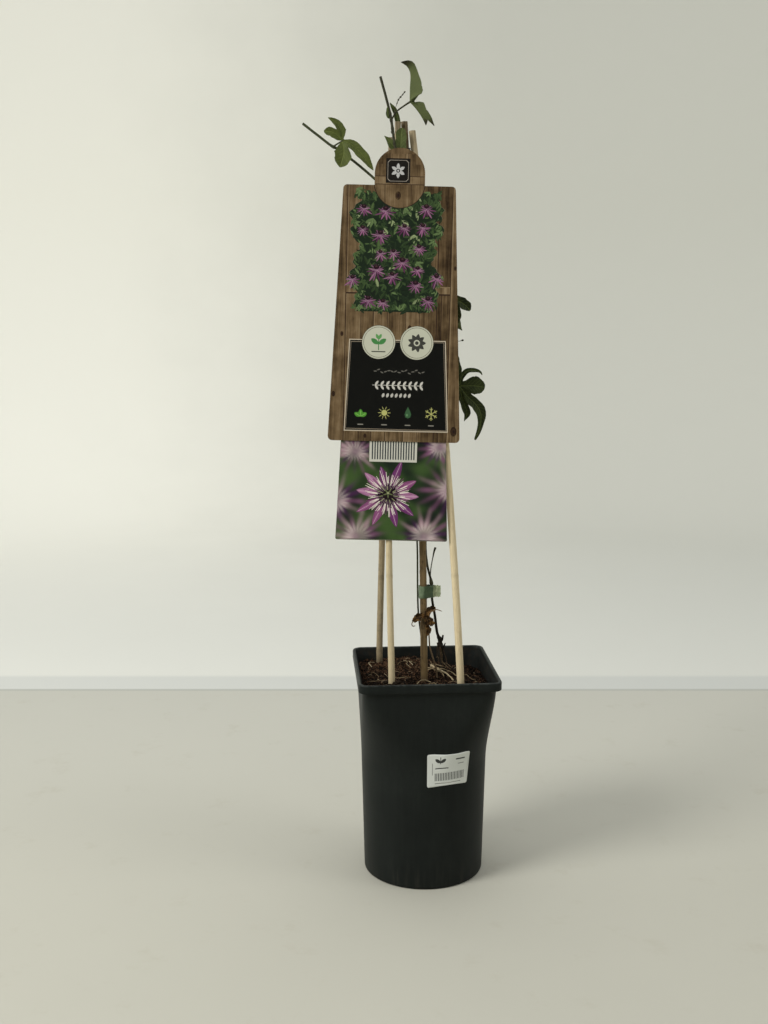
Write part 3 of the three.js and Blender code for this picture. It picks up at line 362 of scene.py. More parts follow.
def buildStudio():
    radius, cove = studio["floorRadius"], studio["cove"]
    profile = [(radius * share, 0) for share in (0.02, 0.25, 0.5, 0.75, 1)]
    for step in range(1, 17):
        angle = step / 16 * pi / 2
        profile.append((radius + cove * sin(angle), cove * (1 - cos(angle))))
    profile.append((radius + cove, studio["wallHeight"]))
    loops = [[(x, y, height - 0.05) for x, y in oval(0, 0, run, count=96)] for run, height in profile]
    finish = Finish("studio_paper", 0.85)
    place = finish.place()
    tone = finish.noise(place, 0.004, 3)
    x, y, z = finish.split(place)
    # across the seam between floor and wall, which runs square to the camera's view
    away = y * 0.9976 + x * 0.0698
    wall = finish.mix(finish.step(x + tone * 300, -650, 750), studio["wallColor"], studio["shadeColor"])
    # painted shade: the backdrop darker near the seam, fading further back
    wall = finish.mix((1 - finish.step(away, 700, 2300)) * 0.75, wall, (0.56, 0.57, 0.53))
    ground = finish.mix(tone * 0.3, studio["floorColor"], tint(studio["floorColor"], 0.82))
    # painted light: the floor lighter towards the back
    ground = finish.mix(finish.step(y, -150, 600) * 0.4, ground, (0.52, 0.525, 0.48))
    # darker brown blotches, spread at random over the floor
    blotched = finish.step(finish.noise(place, 0.02, 4, 0.7), 0.56, 0.75)
    ground = finish.mix(blotched * 0.16, ground, (0.3, 0.26, 0.19))
    seam = studio["seamY"]
    paper = finish.mix(finish.step(away, seam, seam + 6), ground, wall)
    # painted shade: a darker band just behind the seam, and a dark line along it, where the floor meets the
    # wall
    fold = finish.step(away, seam, seam + 8) * (1 - finish.step(away, seam + 60, seam + 80))
    paper = finish.mix(fold * 0.3, paper, (0.33, 0.36, 0.37))
    foot = 1 - finish.step(finish.math("ABSOLUTE", away - seam - 1), 2, 7)
    finish.feed("Base Color", finish.mix(foot * 0.4, paper, (0.27, 0.29, 0.28)))
    points, faces = skin(loops, capEnd=False)
    floor = addPiece("floor", points, [tuple(reversed(face)) for face in faces], [finish])
    for name, place, aim, size, watts, color in studio["lamps"]:
        data = bpy.data.lights.new(name, "AREA")
        data.shape = "DISK"
        data.size = size * mm
        data.energy = watts
        data.color = color
        lamp = bpy.data.objects.new(name, data)
        lamp.location = Vector(place) * mm
        lamp.rotation_euler = (Vector(aim) - Vector(place)).to_track_quat("-Z", "Y").to_euler()
        scene.collection.objects.link(lamp)
    world = bpy.data.worlds.new("studio_light")
    world.use_nodes = True
    sky = world.node_tree.nodes["Background"]
    sky.inputs[0].default_value = (*studio["worldColor"], 1)
    sky.inputs[1].default_value = studio["worldLight"]
    scene.world = world
    scene.view_settings.view_transform = "Standard"


buildStudio()
print("studio ready")

pot = {
    "height": 210, "wall": 1.6, "floor": 2,
    "baseHalf": 59.5, "kneeHalf": 62.4, "kneeHeight": 120,
    "neckHalf": 64.6, "neckCorner": 14,
    "rimHalf": 68.33, "rimCorner": 9.5, "rimDepth": 8.5, "rimWall": 3,
    "drains": 8, "drainRadius": 4, "drainCircle": 44,
    "samples": 256,
}


# How far a square with round corners reaches from its middle in one direction
def reach(half, corner, angle):
    c, s = abs(cos(angle)), abs(sin(angle))
    flat = half / max(c, s)
    if flat * min(c, s) <= half - corner:
        return flat
    run = (half - corner) * (c + s)
    return run + sqrt(max(corner ** 2 - 2 * (half - corner) ** 2 + run ** 2, 0))


def wallAt(height):
    if height <= pot["kneeHeight"]:
        half = mixed(pot["baseHalf"], pot["kneeHalf"], height / pot["kneeHeight"])
        return half, half
    t = min((height - pot["kneeHeight"]) / (pot["height"] - pot["rimDepth"] - pot["kneeHeight"]), 1)
    turned = (t * t * (3 - 2 * t) + t) / 2
    return mixed(pot["kneeHalf"], pot["neckHalf"], turned), mixed(pot["kneeHalf"], pot["neckCorner"], turned)


def potLoop(half, corner, height):
    return [(*polar(0, 0, reach(half, max(corner, 0.1), angle), angle), height)
            for angle in turns(pot["samples"])]


def wallLoop(height, inset):
    half, corner = wallAt(height)
    return potLoop(half - inset, corner - inset, height)


def plasticFinish():
    finish = Finish("pot_plastic", 0.45, Specular_IOR_Level=0.11)
    place = finish.place()
    z = finish.split(place)[2]
    cloud = finish.noise(place, 0.018, 4, 0.6)
    streak = finish.noise(finish.place((0.5, 0.5, 0.035)), 0.5, 3)
    speck = finish.noise(place, 1.6, 2, 0.7)
    dust = finish.step(speck, 0.62, 0.8) * finish.step(cloud, 0.4, 0.7)
    low = 1 - finish.step(z, 2, 34)
    body = finish.ramp(cloud * 0.6 + streak * 0.4, [
        (0.3, (0.0066, 0.0085, 0.008)), (0.7, (0.0118, 0.0148, 0.0136)),
    ])
    dirtAndShade = finish.math("MINIMUM", dust * 0.35 + low * finish.step(streak, 0.45, 0.8) * 0.3, 1)
    scratch = finish.noise(finish.place((1, 1, 0.4)), 0.11, 6, 0.78, 2.2)
    line = 1 - finish.step(finish.math("ABSOLUTE", scratch - 0.5), 0, 0.006)
    scuff = line * finish.step(cloud, 0.5, 0.62)
    body = finish.mix(scuff * 0.5, body, (0.03, 0.034, 0.03))
    inside = finish.spread("inside")
    smear = finish.step(finish.noise(finish.place((1, 1, 0.6)), 0.16, 4, 0.7), 0.46, 0.7) * inside
    # painted shade: the walls inside the pot darker
    body = finish.mix(inside * 0.5, body, (0.0035, 0.0038, 0.003))
    body = finish.mix(smear * finish.step(z, 180, 200) * 0.5, body, (0.022, 0.015, 0.009))
    # painted highlight: the rim's top edge lighter in patches
    wearAndHighlight = finish.step(z, 208.6, 209.7) * finish.step(streak + cloud, 0.85, 1.15)
    body = finish.mix(wearAndHighlight * 0.7, body, (0.04, 0.046, 0.042))
    finish.feed("Base Color", finish.mix(dirtAndShade, body, (0.045, 0.04, 0.031)))
    finish.feed("Roughness", 0.36 + cloud * 0.12 + streak * 0.08 + dirtAndShade * 0.3 + inside * 0.4)
    grain = finish.noise(place, 2.4, 2, 0.6)
    finish.bump(grain * 0.35 + streak * 0.8, 0.12, 0.5)
    return finish


# The flat triangles of an outline and the polygons on it, each with the numbers of those that hold it
def cutSheet(outline, shapes, cell):
    points = []
    rings = []
    for ring in [outline, *shapes]:
        rings.append(list(range(len(points), len(points) + len(ring))))
        points += [Vector((x, y)) for x, y in ring]
    if cell:
        low = [min(p[axis] for p in outline) for axis in (0, 1)]
        high = [max(p[axis] for p in outline) for axis in (0, 1)]
        for column in range(1, int((high[0] - low[0]) / cell) + 1):
            for row in range(1, int((high[1] - low[1]) / cell) + 1):
                shift = 0.25 * cell * (row % 2)
                points.append(Vector((low[0] + column * cell + shift, low[1] + row * cell)))
    verts, _, triangles, _, _, held = geometry.delaunay_2d_cdt(points, [], rings, 1, 1e-4)
    inside = [(tuple(face), within) for face, within in zip(triangles, held) if 0 in within]
    return [(v.x, v.y) for v in verts], inside


def weld(piece, distance):
    body = bmesh.new()
    body.from_mesh(piece.data)
    bmesh.ops.remove_doubles(body, verts=body.verts, dist=distance * mm)
    body.to_mesh(piece.data)
    body.free()


def buildPot():
    wall, top, base = pot["wall"], pot["height"], pot["baseHalf"]
    neck, neckCorner = pot["neckHalf"], pot["neckCorner"]
    ledge = top - pot["rimDepth"]
    heights = [step * 5 for step in range(1, 40)]
    foot = ((2.2, 0), (1.2, 0.15), (0.35, 0.8))
    loops = [potLoop(base - inset, base - inset, height) for inset, height in foot]
    loops += [wallLoop(height, 0) for height in [2.2, *heights]]
    loops += [potLoop(neck, neckCorner, ledge - 0.8), potLoop(neck + 0.25, neckCorner + 0.25, ledge - 0.25)]
    lip = [(0.9, ledge), (0.3, ledge + 0.15), (0, ledge + 0.8), (0.12, ledge + 3.6), (0, top - 1.6),
           (0.2, top - 0.7), (0.55, top - 0.2), (1.1, top), (1.9, top), (2.5, top - 0.15),
           (2.85, top - 0.5), (3, top - 1.1)]
    loops += [potLoop(pot["rimHalf"] - inset, pot["rimCorner"] - inset, height) for inset, height in lip]
    for share in (0.2, 0.4, 0.6, 0.8, 1):
        loops.append(potLoop(mixed(pot["rimHalf"] - pot["rimWall"], neck - wall, share),
                             mixed(pot["rimCorner"] - pot["rimWall"], neckCorner - wall, share),
                             mixed(top - 1.6, ledge - 0.5, share)))
    loops += [wallLoop(height, wall) for height in reversed(heights)]
    loops.append(wallLoop(pot["floor"], wall))
    points, faces = skin(loops, capStart=False, capEnd=False)
    # the walls below the lip are marked inside, where painted shade darkens them and dirt is smeared
    outer = pot["samples"] * (next(index for index, loop in enumerate(loops) if loop[0][2] == top) + 5)
    dirtAndShade = [0] * outer + [1] * (len(points) - outer)
    # the floor, with its drain holes
    sides = 24
    holes = [oval(*polar(0, 0, pot["drainCircle"], angle), pot["drainRadius"], count=sides)
             for angle in turns(pot["drains"], pi / pot["drains"])]
    for height, edge, flip in ((0, loops[0], True), (pot["floor"], loops[-1], False)):
        flat, inside = cutSheet([(p[0], p[1]) for p in edge], holes, 12)
        start = len(points)
        points += [(x, y, height) for x, y in flat]
        for face, within in inside:
            if max(within) == 0:
                face = [start + index for index in face]
                faces.append(tuple(reversed(face)) if flip else tuple(face))
    for hole in holes:
        start = len(points)
        points += [(x, y, 0) for x, y in hole] + [(x, y, pot["floor"]) for x, y in hole]
        for step in range(sides):
            after = (step + 1) % sides
            faces.append((start + step, start + sides + step, start + sides + after, start + after))
    piece = addPiece("pot_shell", points, faces, [plasticFinish()])
    spreadOver(piece, "inside", dirtAndShade + [0] * (len(points) - len(dirtAndShade)))
    weld(piece, 0.004)
    piece.data.shade_smooth()
    piece.data.set_sharp_from_angle(angle=radians(38))
    standFor(piece, "pot_plastic", "pot")


buildPot()
print("pot made")


# A node tree that spreads small shapes over the open part of a host piece
class Growth(Graph):
    def __init__(self, name, sizes):
        super().__init__(bpy.data.node_groups.new(name, "GeometryNodeTree"))
        sockets = self.tree.interface
        sockets.new_socket("Geometry", in_out="OUTPUT", socket_type="NodeSocketGeometry")
        kinds = {"Geometry": "Geometry", **dict.fromkeys(["Density", *sizes], "Float"),
                 "Seed": "Int", "Finish": "Material"}
        for label, kind in kinds.items():
            sockets.new_socket(label, in_out="INPUT", socket_type="NodeSocket" + kind)
        entry = self.tree.nodes.new("NodeGroupInput")
        self.given = {socket.name: Wire(self, socket) for socket in entry.outputs if socket.name}
        self.open = self.node("GeometryNodeInputNamedAttribute", {"data_type": "FLOAT"}, {"Name": "open"})

    # a random number or vector for each shape
    def random(self, low, high, seed=None):
        kind, first, output = ("FLOAT_VECTOR", 0, 0) if isinstance(low, tuple) else ("FLOAT", 2, 1)
        return self.node("FunctionNodeRandomValue", {"data_type": kind},
                         {first: low, first + 1: high, "Seed": seed or self.given["Seed"]}, output)

    def strewn(self, where, shape, rotation, scale):
        given = self.given
        spots = self.node("GeometryNodeDistributePointsOnFaces", {"distribute_method": "RANDOM"}, {
            "Mesh": given["Geometry"], "Density": given["Density"] * where, "Seed": given["Seed"]})
        return self.node("GeometryNodeInstanceOnPoints", inputs={
            "Points": spots, "Instance": shape, "Rotation": rotation, "Scale": scale})

    # what the tree makes on a copy of the host, as a plain mesh
    def grown(self, name, host, result, values):
        real = self.node("GeometryNodeRealizeInstances", inputs={0: result})
        painted = self.node("GeometryNodeSetMaterial", inputs={
            "Geometry": real, "Material": self.given["Finish"]})
        leave = self.tree.nodes.new("NodeGroupOutput")
        self.tree.links.new(painted.socket, leave.inputs[0])
        holder = bpy.data.objects.new("holder", host.data.copy())
        scene.collection.objects.link(holder)
        modifier = holder.modifiers.new("growth", "NODES")
        modifier.node_group = self.tree
        for item in self.tree.interface.items_tree:
            if item.in_out == "INPUT" and item.name in values:
                modifier[item.identifier] = values[item.name]
        mesh = bpy.data.meshes.new_from_object(holder.evaluated_get(bpy.context.evaluated_depsgraph_get()))
        mesh.name = name
        bpy.data.objects.remove(holder)
        piece = bpy.data.objects.new(name, mesh)
        scene.collection.objects.link(piece)
        return piece


soil = {
    "height": 197, "edge": 196, "middle": 120, "bottom": 2.3, "gap": 0.3, "rings": 90, "sides": 260,
    "fibreShare": 0.87, "crumbShare": 0.97, "edgeShare": 0.94,
    "crumbDensity": 240000.0, "crumbSmall": 0.00035, "crumbLarge": 0.0021, "crumbSeed": 5,
    "fibreDensity": 33000.0, "fibreShort": 0.3, "fibreLong": 1.6, "fibreSeed": 8, "toneSeed": 77,
    # in metres, as the node trees are
    "fibreRadius": 0.00016,
    "fibreBow": {
        "Start": (-0.0035, 0, -0.0004), "Middle": (0.0004, 0.0022, 0.0016), "End": (0.004, -0.001, 0.0002),
    },
}


def soilTop(x, y):
    mound = 3 * exp(-((x - 24) ** 2 + (y - 28) ** 2) / 220)
    clump = 5 * exp(-((x + 30) ** 2 + (y + 44) ** 2) / 60)
    bank = 5.5 * exp(-((x + 8) ** 2) / 900 - ((y - 48) ** 2) / 260)
    hollow = 5 * min(max((x + 0.8 * y - 44) / 50, 0), 1)
    heap = 3.2 * exp(-((x - 14) ** 2 + (y + 30) ** 2) / 130)
    lumps = 1.9 * noise.fractal(Vector((x, y, 3)) * 0.11, 1, 2, 3)
    grit = 1.3 * noise.fractal(Vector((x, y, 9)) * 0.45, 0.9, 2, 3)
    return soil["height"] - 0.03 * x - 0.02 * y + mound + bank + clump + heap - hollow + lumps + grit


def soilFinish(name, lift=1):
    finish = Finish(name, 0.95, Specular_IOR_Level=0.06)
    place = finish.place()
    cloud = finish.noise(place, 0.09, 4, 0.6)
    grit = finish.noise(place, 0.75, 4, 0.7)
    crumbs = finish.cells(place, 0.6)
    x, y, z = finish.split(place)
    # drier and paler towards the back left
    dry = (1 - finish.step(x + (cloud - 0.5) * 60, -8, 34)) * finish.step(y, -30, 40)
    tone = cloud * 0.35 + grit * 0.45 + crumbs * 0.25 + dry * 0.05
    colors = [(0.0009, 0.0006, 0.0004), (0.0028, 0.0018, 0.0011), (0.105, 0.056, 0.03)]
    stops = [(at, tint(color, lift)) for at, color in zip((0.36, 0.54, 0.72), colors)]
    finish.feed("Base Color", finish.ramp(tone, stops))
    finish.feed("Roughness", 0.8 + grit * 0.2)
    finish.bump(grit + crumbs * 0.7, 0.8, 0.9)
    return finish


def buildSoil():
    inset = pot["wall"] + soil["gap"]
    half, corner = wallAt(soil["edge"])
    sides, rings = soil["sides"], soil["rings"]
    points, faces, opened = [(0, 0, soilTop(0, 0))], [], [1]
    for ring in range(1, rings + 1):
        share = ring / rings
        for angle in turns(sides):
            x, y = polar(0, 0, reach(half - inset, corner - inset, angle) * share, angle)
            foot = soilTop(x, y) - 1.5 + 1.2 * noise.noise(Vector((x, y, 0)) * 0.3)
            down = max(0, (share - soil["edgeShare"]) / (1 - soil["edgeShare"])) ** 1.5
            points.append((x, y, mixed(soilTop(x, y), foot, down)))
            opened.append(1 if share < soil["fibreShare"] else 0.5 if share < soil["crumbShare"] else 0)
    for side in range(sides):
        after = (side + 1) % sides
        faces.append((0, 1 + side, 1 + after))
        for ring in range(1, rings):
            low = 1 + (ring - 1) * sides
            faces.append((low + side, low + sides + side, low + sides + after, low + after))
    # the sides and the underside stay inside the pot
    low = 1 + (rings - 1) * sides
    for height in (soil["middle"], soil["bottom"]):
        half, corner = wallAt(height)
        start = len(points)
        points += [(*polar(0, 0, reach(half - inset, corner - inset, angle) - 0.02, angle), height)
                   for angle in turns(sides)]
        for side in range(sides):
            after = (side + 1) % sides
            faces.append((low + side, start + side, start + after, low + after))
        low = start
    points.append((0, 0, soil["bottom"]))
    faces += [(len(points) - 1, low + (side + 1) % sides, low + side) for side in range(sides)]
    piece = addPiece("soil_bed", points, faces, [soilFinish("soil_peat")])
    spreadOver(piece, "open", opened + [0] * (len(points) - len(opened)))
    standFor(piece, "soil", "soil")

    crumb = Growth("soil_crumbs", ["Smallest", "Largest"])
    least, most = crumb.given["Smallest"], crumb.given["Largest"]
    grain = crumb.node("GeometryNodeMeshIcoSphere", inputs={"Radius": 1, "Subdivisions": 1})
    size = crumb.random(0, 1)
    size = least + (most - least) * size * size * size
    squash = crumb.random((0.6, 0.5, 0.35), (1.5, 1.1, 0.9))
    scale = crumb.node("ShaderNodeVectorMath", {"operation": "SCALE"}, {0: squash, "Scale": size})
    placed = crumb.strewn(crumb.math("MINIMUM", crumb.open * 2, 1), grain,
                          crumb.random((-3, -3, -3), (3, 3, 3)), scale)
    standFor(crumb.grown("soil_crumbs", piece, placed, {
        "Density": soil["crumbDensity"], "Smallest": soil["crumbSmall"], "Largest": soil["crumbLarge"],
        "Seed": soil["crumbSeed"], "Finish": soilFinish("soil_crumb", 1.25).material}), "soil")

    fibre = Growth("soil_fibres", ["Shortest", "Longest"])
    bow = fibre.node("GeometryNodeCurveQuadraticBezier", inputs={"Resolution": 5, **soil["fibreBow"]})
    ring = fibre.node("GeometryNodeCurvePrimitiveCircle", inputs={
        "Resolution": 3, "Radius": soil["fibreRadius"]})
    strand = fibre.node("GeometryNodeCurveToMesh", inputs={0: bow, 1: ring})
    placed = fibre.strewn(fibre.math("MAXIMUM", fibre.open * 2 - 1, 0), strand,
                          fibre.random((-0.5, -0.35, -3.14), (0.5, 0.35, 3.14)),
                          fibre.random(fibre.given["Shortest"], fibre.given["Longest"]))
    kept = fibre.node("GeometryNodeStoreNamedAttribute", {"data_type": "FLOAT", "domain": "INSTANCE"},
                      {"Geometry": placed, "Name": "tone", "Value": fibre.random(0, 1, soil["toneSeed"])})
    finish = Finish("soil_fibre", 0.85, Specular_IOR_Level=0.1)
    tone = finish.spread("tone") + finish.noise(finish.place(), 0.8) * 0.2 - 0.1
    finish.feed("Base Color", finish.ramp(tone, [
        (0, (0.004, 0.0025, 0.0015)), (0.5, (0.02, 0.01, 0.0055)), (0.82, (0.13, 0.07, 0.038)),
        (1, (0.44, 0.36, 0.23))]))
    standFor(fibre.grown("soil_fibres", piece, kept, {
        "Density": soil["fibreDensity"], "Shortest": soil["fibreShort"], "Longest": soil["fibreLong"],
        "Seed": soil["fibreSeed"], "Finish": finish.material}), "soil")


# Dead roots and straw that lie on the soil: points, thickness from end to end, and paleness
straws = [
    ([(9, 25, 206), (10.5, 18, 204), (13.8, 9, 203), (17.4, 2.2, 202.4)], (0.5, 1.1), 0.55),
    ([(8, 17, 204), (11, 10, 204.4), (15.4, 2, 203.6), (20, -8, 203.6), (23.6, -19, 203), (26, -31, 202)],
     (1.9, 1), 0.8),
    ([(4, 10, 203), (12, 5, 204.6), (21, 2, 203.6), (27, -6, 203), (31, -15, 202)], (0.9, 0.5), 0.7),
    ([(2, 4, 202), (7, 2, 204.4), (13, -2, 204), (17, -9, 203.6), (18, -17, 202)], (1.1, 0.6), 0.62),
    ([(9, 14, 206), (13, 16, 205), (19, 13, 204), (24, 16, 201)], (0.9, 0.6), 0.6),
    ([(17.2, 44.9, 204), (19, 37, 206), (20.7, 30.5, 204), (26, 24, 203), (30.5, 18.6, 200)], (0.4, 0.3), 0.6),
    ([(18.6, 25, 224), (20.6, 24, 214), (21.6, 21, 206), (25.6, 17, 202), (29, 12, 201)], (0.6, 0.5), 0.5),
    ([(20, 25.6, 222), (23.6, 25.6, 213), (25.4, 23, 206), (24, 18, 201)], (0.9, 0.5), 0.32),
    ([(16.8, 24.6, 226), (15.6, 21.6, 215), (17, 18, 207), (15, 13, 201)], (0.8, 0.5), 0.25),
    ([(18.4, 23.4, 221), (19.4, 23, 213), (20.2, 21.4, 206.6), (22, 19, 202)], (1.1, 0.8), 0.36),
    ([(-10, -30, 199), (-6, -27, 201.6), (-1, -26, 202), (4, -29, 200)], (0.5, 0.4), 0.8),
    ([(-2, -40, 199), (2, -37, 201.4), (7, -38, 202), (10, -43, 199)], (0.4, 0.4), 0.65),
    ([(-18, 40, 203), (-14, 30, 204), (-15, 22, 203.6), (-11, 14, 202)], (0.5, 0.3), 0.75),
    ([(-9, 34, 203), (-12, 27, 205), (-9, 20, 203.4)], (0.35, 0.5), 0.9),
    ([(-24, 30, 201), (-19, 34, 203.4), (-12, 36, 203), (-5, 33, 202)], (0.4, 0.35), 0.6),
    ([(-50, 30, 199), (-53, 38, 201.4), (-50, 45, 200), (-44, 47, 199)], (0.6, 0.4), 0.85),
    ([(-56, 8, 199), (-50, 4, 201), (-46, -4, 200), (-48, -12, 198)], (0.4, 0.5), 0.5),
    ([(-58, -20, 198), (-52, -24, 201), (-44, -22, 200.6), (-38, -28, 199)], (0.45, 0.3), 0.6),
    ([(-14, -8, 199), (-18, -14, 201.4), (-26, -14, 201), (-30, -8, 199)], (0.35, 0.35), 0.7),
    ([(38, 1, 197), (43, -4, 199.4), (44, -12, 199), (50, -16, 197)], (0.45, 0.35), 0.6),
    ([(42, -30, 198), (47, -36, 200), (53, -36, 199.4), (57, -42, 197)], (0.4, 0.4), 0.5),
]


def buildStraw():
    dice = random.Random(12)
    shape = Shape()
    for points, (start, end), pale in straws:
        path = Path(points, 12)
        seed = dice.uniform(0, 50)

        def radiusAt(share, angle):
            bark = noise.noise(Vector((share * path.length * 0.5, angle, seed)))
            return 0.62 * mixed(start, end, share) * (1 + 0.3 * bark) * (1 if 0.03 < share < 0.97 else 0.5)

        strand, faces = skin(tubeLoops(path, max(int(path.length / 0.8), 8), 8, radiusAt))
        wobble = [p + 0.7 * noise.noise_vector(Vector(p) * 0.22) for p in strand]
        shape.add(wobble, faces, pale=pale)
    # crumbs that cling to the cane's foot and spill on the rim
    for _ in range(46):
        x, y, size = dice.gauss(-33, 4.5), dice.gauss(-46.5, 6.5), dice.uniform(0.8, 2.3)
        if y < -66:
            continue
        base = pot["height"] - 0.2 if y < -59 else min(soilTop(x, max(y, -56)), 206)
        loops = []
        for step in range(1, 6):
            lift = pi * step / 6
            across = size * sin(lift)
            height = base + 0.4 * size - 0.8 * size * cos(lift)
            loops.append([(u, v, height) for u, v in oval(x, y, 1.2 * across, across, 8)])
        lump, faces = skin(loops)
        lump = [Vector(p) + 0.35 * size * noise.noise_vector(Vector(p) * 0.6) for p in lump]
        shape.add(lump, faces, pale=dice.uniform(0, 0.22))
    finish = Finish("dead_root", 0.85, Specular_IOR_Level=0.1)
    place = finish.place()
    grain = finish.noise(place, 0.9, 4, 0.65)
    tone = finish.spread("pale") + (grain - 0.5) * 0.7
    finish.feed("Base Color", finish.ramp(tone, [
        (0.1, (0.008, 0.005, 0.003)), (0.4, (0.05, 0.032, 0.017)), (0.7, (0.2, 0.155, 0.09)),
        (0.95, (0.4, 0.34, 0.22))]))
    finish.bump(grain, 0.3, 0.7)
    standFor(shape.piece("soil_roots", [finish], 60), "soil")


buildSoil()
buildStraw()
print("soil made")

canes = {
    "cane_back_left": {
        "axis": [[-40.8, 47, 152], [-41.3, 48, 196], [-39.2, 37.4, 325], [-35.6, 20.8, 520], [-32.4, 4.7, 716]],
        "radii": [3.2, 2.9], "slot": "cane_weathered", "seed": 1,
        "pale": (0.375, 0.305, 0.19), "dark": (0.16, 0.125, 0.074), "stain": 0.5,
    },
    "cane_front_left": {
        "axis": [[-34.5, -42.3, 130], [-35, -37.2, 204], [-37, -27.3, 340], [-35.2, -15.8, 500],
                 [-27, -0.9, 729]],
        "radii": [3.25, 2.8], "slot": "cane_light", "seed": 2,
        "pale": (0.56, 0.475, 0.31), "dark": (0.39, 0.32, 0.195), "stain": 0.16,
    },
    "cane_centre": {
        "axis": [[-0.4, -19.4, 130], [-1.4, -16.8, 200], [-3.2, -10.9, 337], [-8.6, -4.6, 500],
                 [-20.6, 4.6, 730]],
        "radii": [3.4, 3], "slot": "cane_brown", "seed": 3,
        "pale": (0.235, 0.165, 0.078), "dark": (0.066, 0.041, 0.019), "stain": 0.8,
    },
    "cane_right": {
        "axis": [[34.4, -44.4, 130], [31.3, -41.3, 204], [23.6, -30.7, 340], [11.2, -18.4, 500],
                 [-13.8, -1, 721]],
        "radii": [3.5, 3.05], "slot": "cane_light", "seed": 4,
        "pale": (0.69, 0.59, 0.39), "dark": (0.46, 0.375, 0.235), "stain": 0.16,
    },
}
caneMake = {"jointEvery": 118, "jointSwell": 0.16, "sides": 36, "ringEvery": 1.6, "bore": 1, "boreDepth": 7}


# How far a place along a cane stands from the nearest joint
def fromJoint(run):
    return run % caneMake["jointEvery"] - caneMake["jointEvery"] / 2


def caneRadius(spec, share, length):
    plain = mixed(spec["radii"][0], spec["radii"][1], share)
    joint = fromJoint(share * length)
    ridge = caneMake["jointSwell"] * exp(-((joint / 2.2) ** 2))
    groove = 0.12 * exp(-(((joint - 2.4) / 0.7) ** 2)) + 0.06 * exp(-(((joint + 2.6) / 1) ** 2))
    return plain + ridge - groove


def caneFinish(name, spec):
    finish = Finish(name, 0.5, Specular_IOR_Level=0.2)
    place = finish.place()
    fine = finish.noise(finish.place((1, 1, 0.03)), 2.2, 3, 0.6)
    broad = finish.noise(finish.place((1, 1, 0.06)), 0.3, 3, 0.55)
    blot = finish.noise(place, 0.07, 4, 0.65)
    tone = fine * 0.4 + broad * 0.35 + blot * 0.25
    pale, dark = spec["pale"], spec["dark"]
    wood = finish.ramp(tone, [(0.36, dark), (0.5, mixedColor(dark, pale, 0.62)), (0.62, pale)])
    mould = finish.step(blot * 0.6 + fine * 0.4, 0.5, 0.62) * spec["stain"]
    wood = finish.mix(mould, wood, tint(dark, 0.3))
    wood = finish.mix(finish.spread("joint") * 0.22, wood, tint(dark, 0.45))
    wood = finish.mix(finish.spread("cut"), wood, tint(pale, 0.7))
    z = finish.split(place)[2]
    # darker towards the foot, near the soil and the pot's rim
    darkFoot = 1 - finish.step(z + blot * 10, 203, 214)
    wood = finish.mix(darkFoot * 0.6, wood, (0.05, 0.034, 0.022))
    # the tops have weathered to one grey brown
    aged = finish.step(z + blot * 60, 690, 745)
    grey = finish.ramp(tone, [(0.38, (0.1, 0.075, 0.045)), (0.6, (0.33, 0.26, 0.165))])
    wood = finish.mix(aged * 0.7, wood, grey)
    finish.feed("Base Color", wood)
    finish.feed("Roughness", 0.42 + fine * 0.2 + mould * 0.25)
    finish.bump(fine + broad * 0.6, 0.12, 0.6)
    return finish


def buildCane(name, spec):
    path = Path(spec["axis"], 30)
    dice = random.Random(spec["seed"])
    phase = [dice.uniform(0, 6.28) for _ in range(3)]
    steps = int(path.length / caneMake["ringEvery"])

    def radiusAt(share, angle):
        oval = 1 + 0.025 * cos(2 * angle + phase[0]) + 0.012 * cos(3 * angle + phase[1] + 4 * share)
        return caneRadius(spec, share, path.length) * oval

    sides = caneMake["sides"]
    loops = tubeLoops(path, steps, sides, radiusAt)
    joints = [exp(-(((fromJoint(step / steps * path.length) - 1.2) / 2) ** 2)) for step in range(steps + 1)]
    cuts = [0] * len(joints)
    # the sawn top: a worn edge, and the bore that goes down inside
    top, axis, bore = path.at(1), path.tangent(1), caneMake["bore"] / spec["radii"][1]
    for part, drop in ((0.93, 0), (0.8, -0.05), (bore, 0.05), (0.9 * bore, 1),
                       (0.8 * bore, caneMake["boreDepth"])):
        loops.append([top - drop * axis + (Vector(p) - top) * part for p in loops[steps]])
        joints.append(0 if drop < 1 else 1)
        cuts.append(1)
    points, faces = skin(loops)
    piece = addPiece(name + "_rod", points, faces, [caneFinish(name, spec)], 40)
    for key, values in (("joint", joints), ("cut", cuts)):
        spreadOver(piece, key, [value for value in values for _ in range(sides)] + [0, 1])
    standFor(piece, spec["slot"], name)


for caneName, caneSpec in canes.items():
    buildCane(caneName, caneSpec)
print("canes made")

front = [0, -1, 0]
leafMake = {"thickness": 0.46, "perSide": 16, "rings": 12, "ripple": 0.35}
# half widths from a lobe's base to its tip, as shares of its largest
pointed = [0, 0.3, 0.62, 0.86, 0.98, 1, 0.92, 0.76, 0.52, 0.26, 0.02]
blunt = [0, 0.42, 0.72, 0.9, 0.98, 1, 0.96, 0.88, 0.74, 0.5, 0.1]


# One lobe: its midrib from the leaf's junction to its tip, half width, fold in degrees, the way its
# face looks, its outline, and its share of the leaf's fan
def lobe(midrib, half, fold, face, outline=pointed, sector=1):
    path = Path(midrib, 10)
    return {"path": path, "half": half, "fold": radians(fold), "look": Vector(face).normalized(),
            "outline": outline, "sector": sector, "length": path.length}


# A row of values read with a smooth curve through them
def smoothAlong(values, share):
    place = clamp(share) * (len(values) - 1)
    index = min(int(place), len(values) - 2)
    t = place - index
    a, b, c, d = (values[min(max(index + near, 0), len(values) - 1)] for near in (-1, 0, 1, 2))
    return b + 0.5 * t * (c - a + t * (2 * a - 5 * b + 4 * c - d + t * (3 * (b - c) + d - a)))


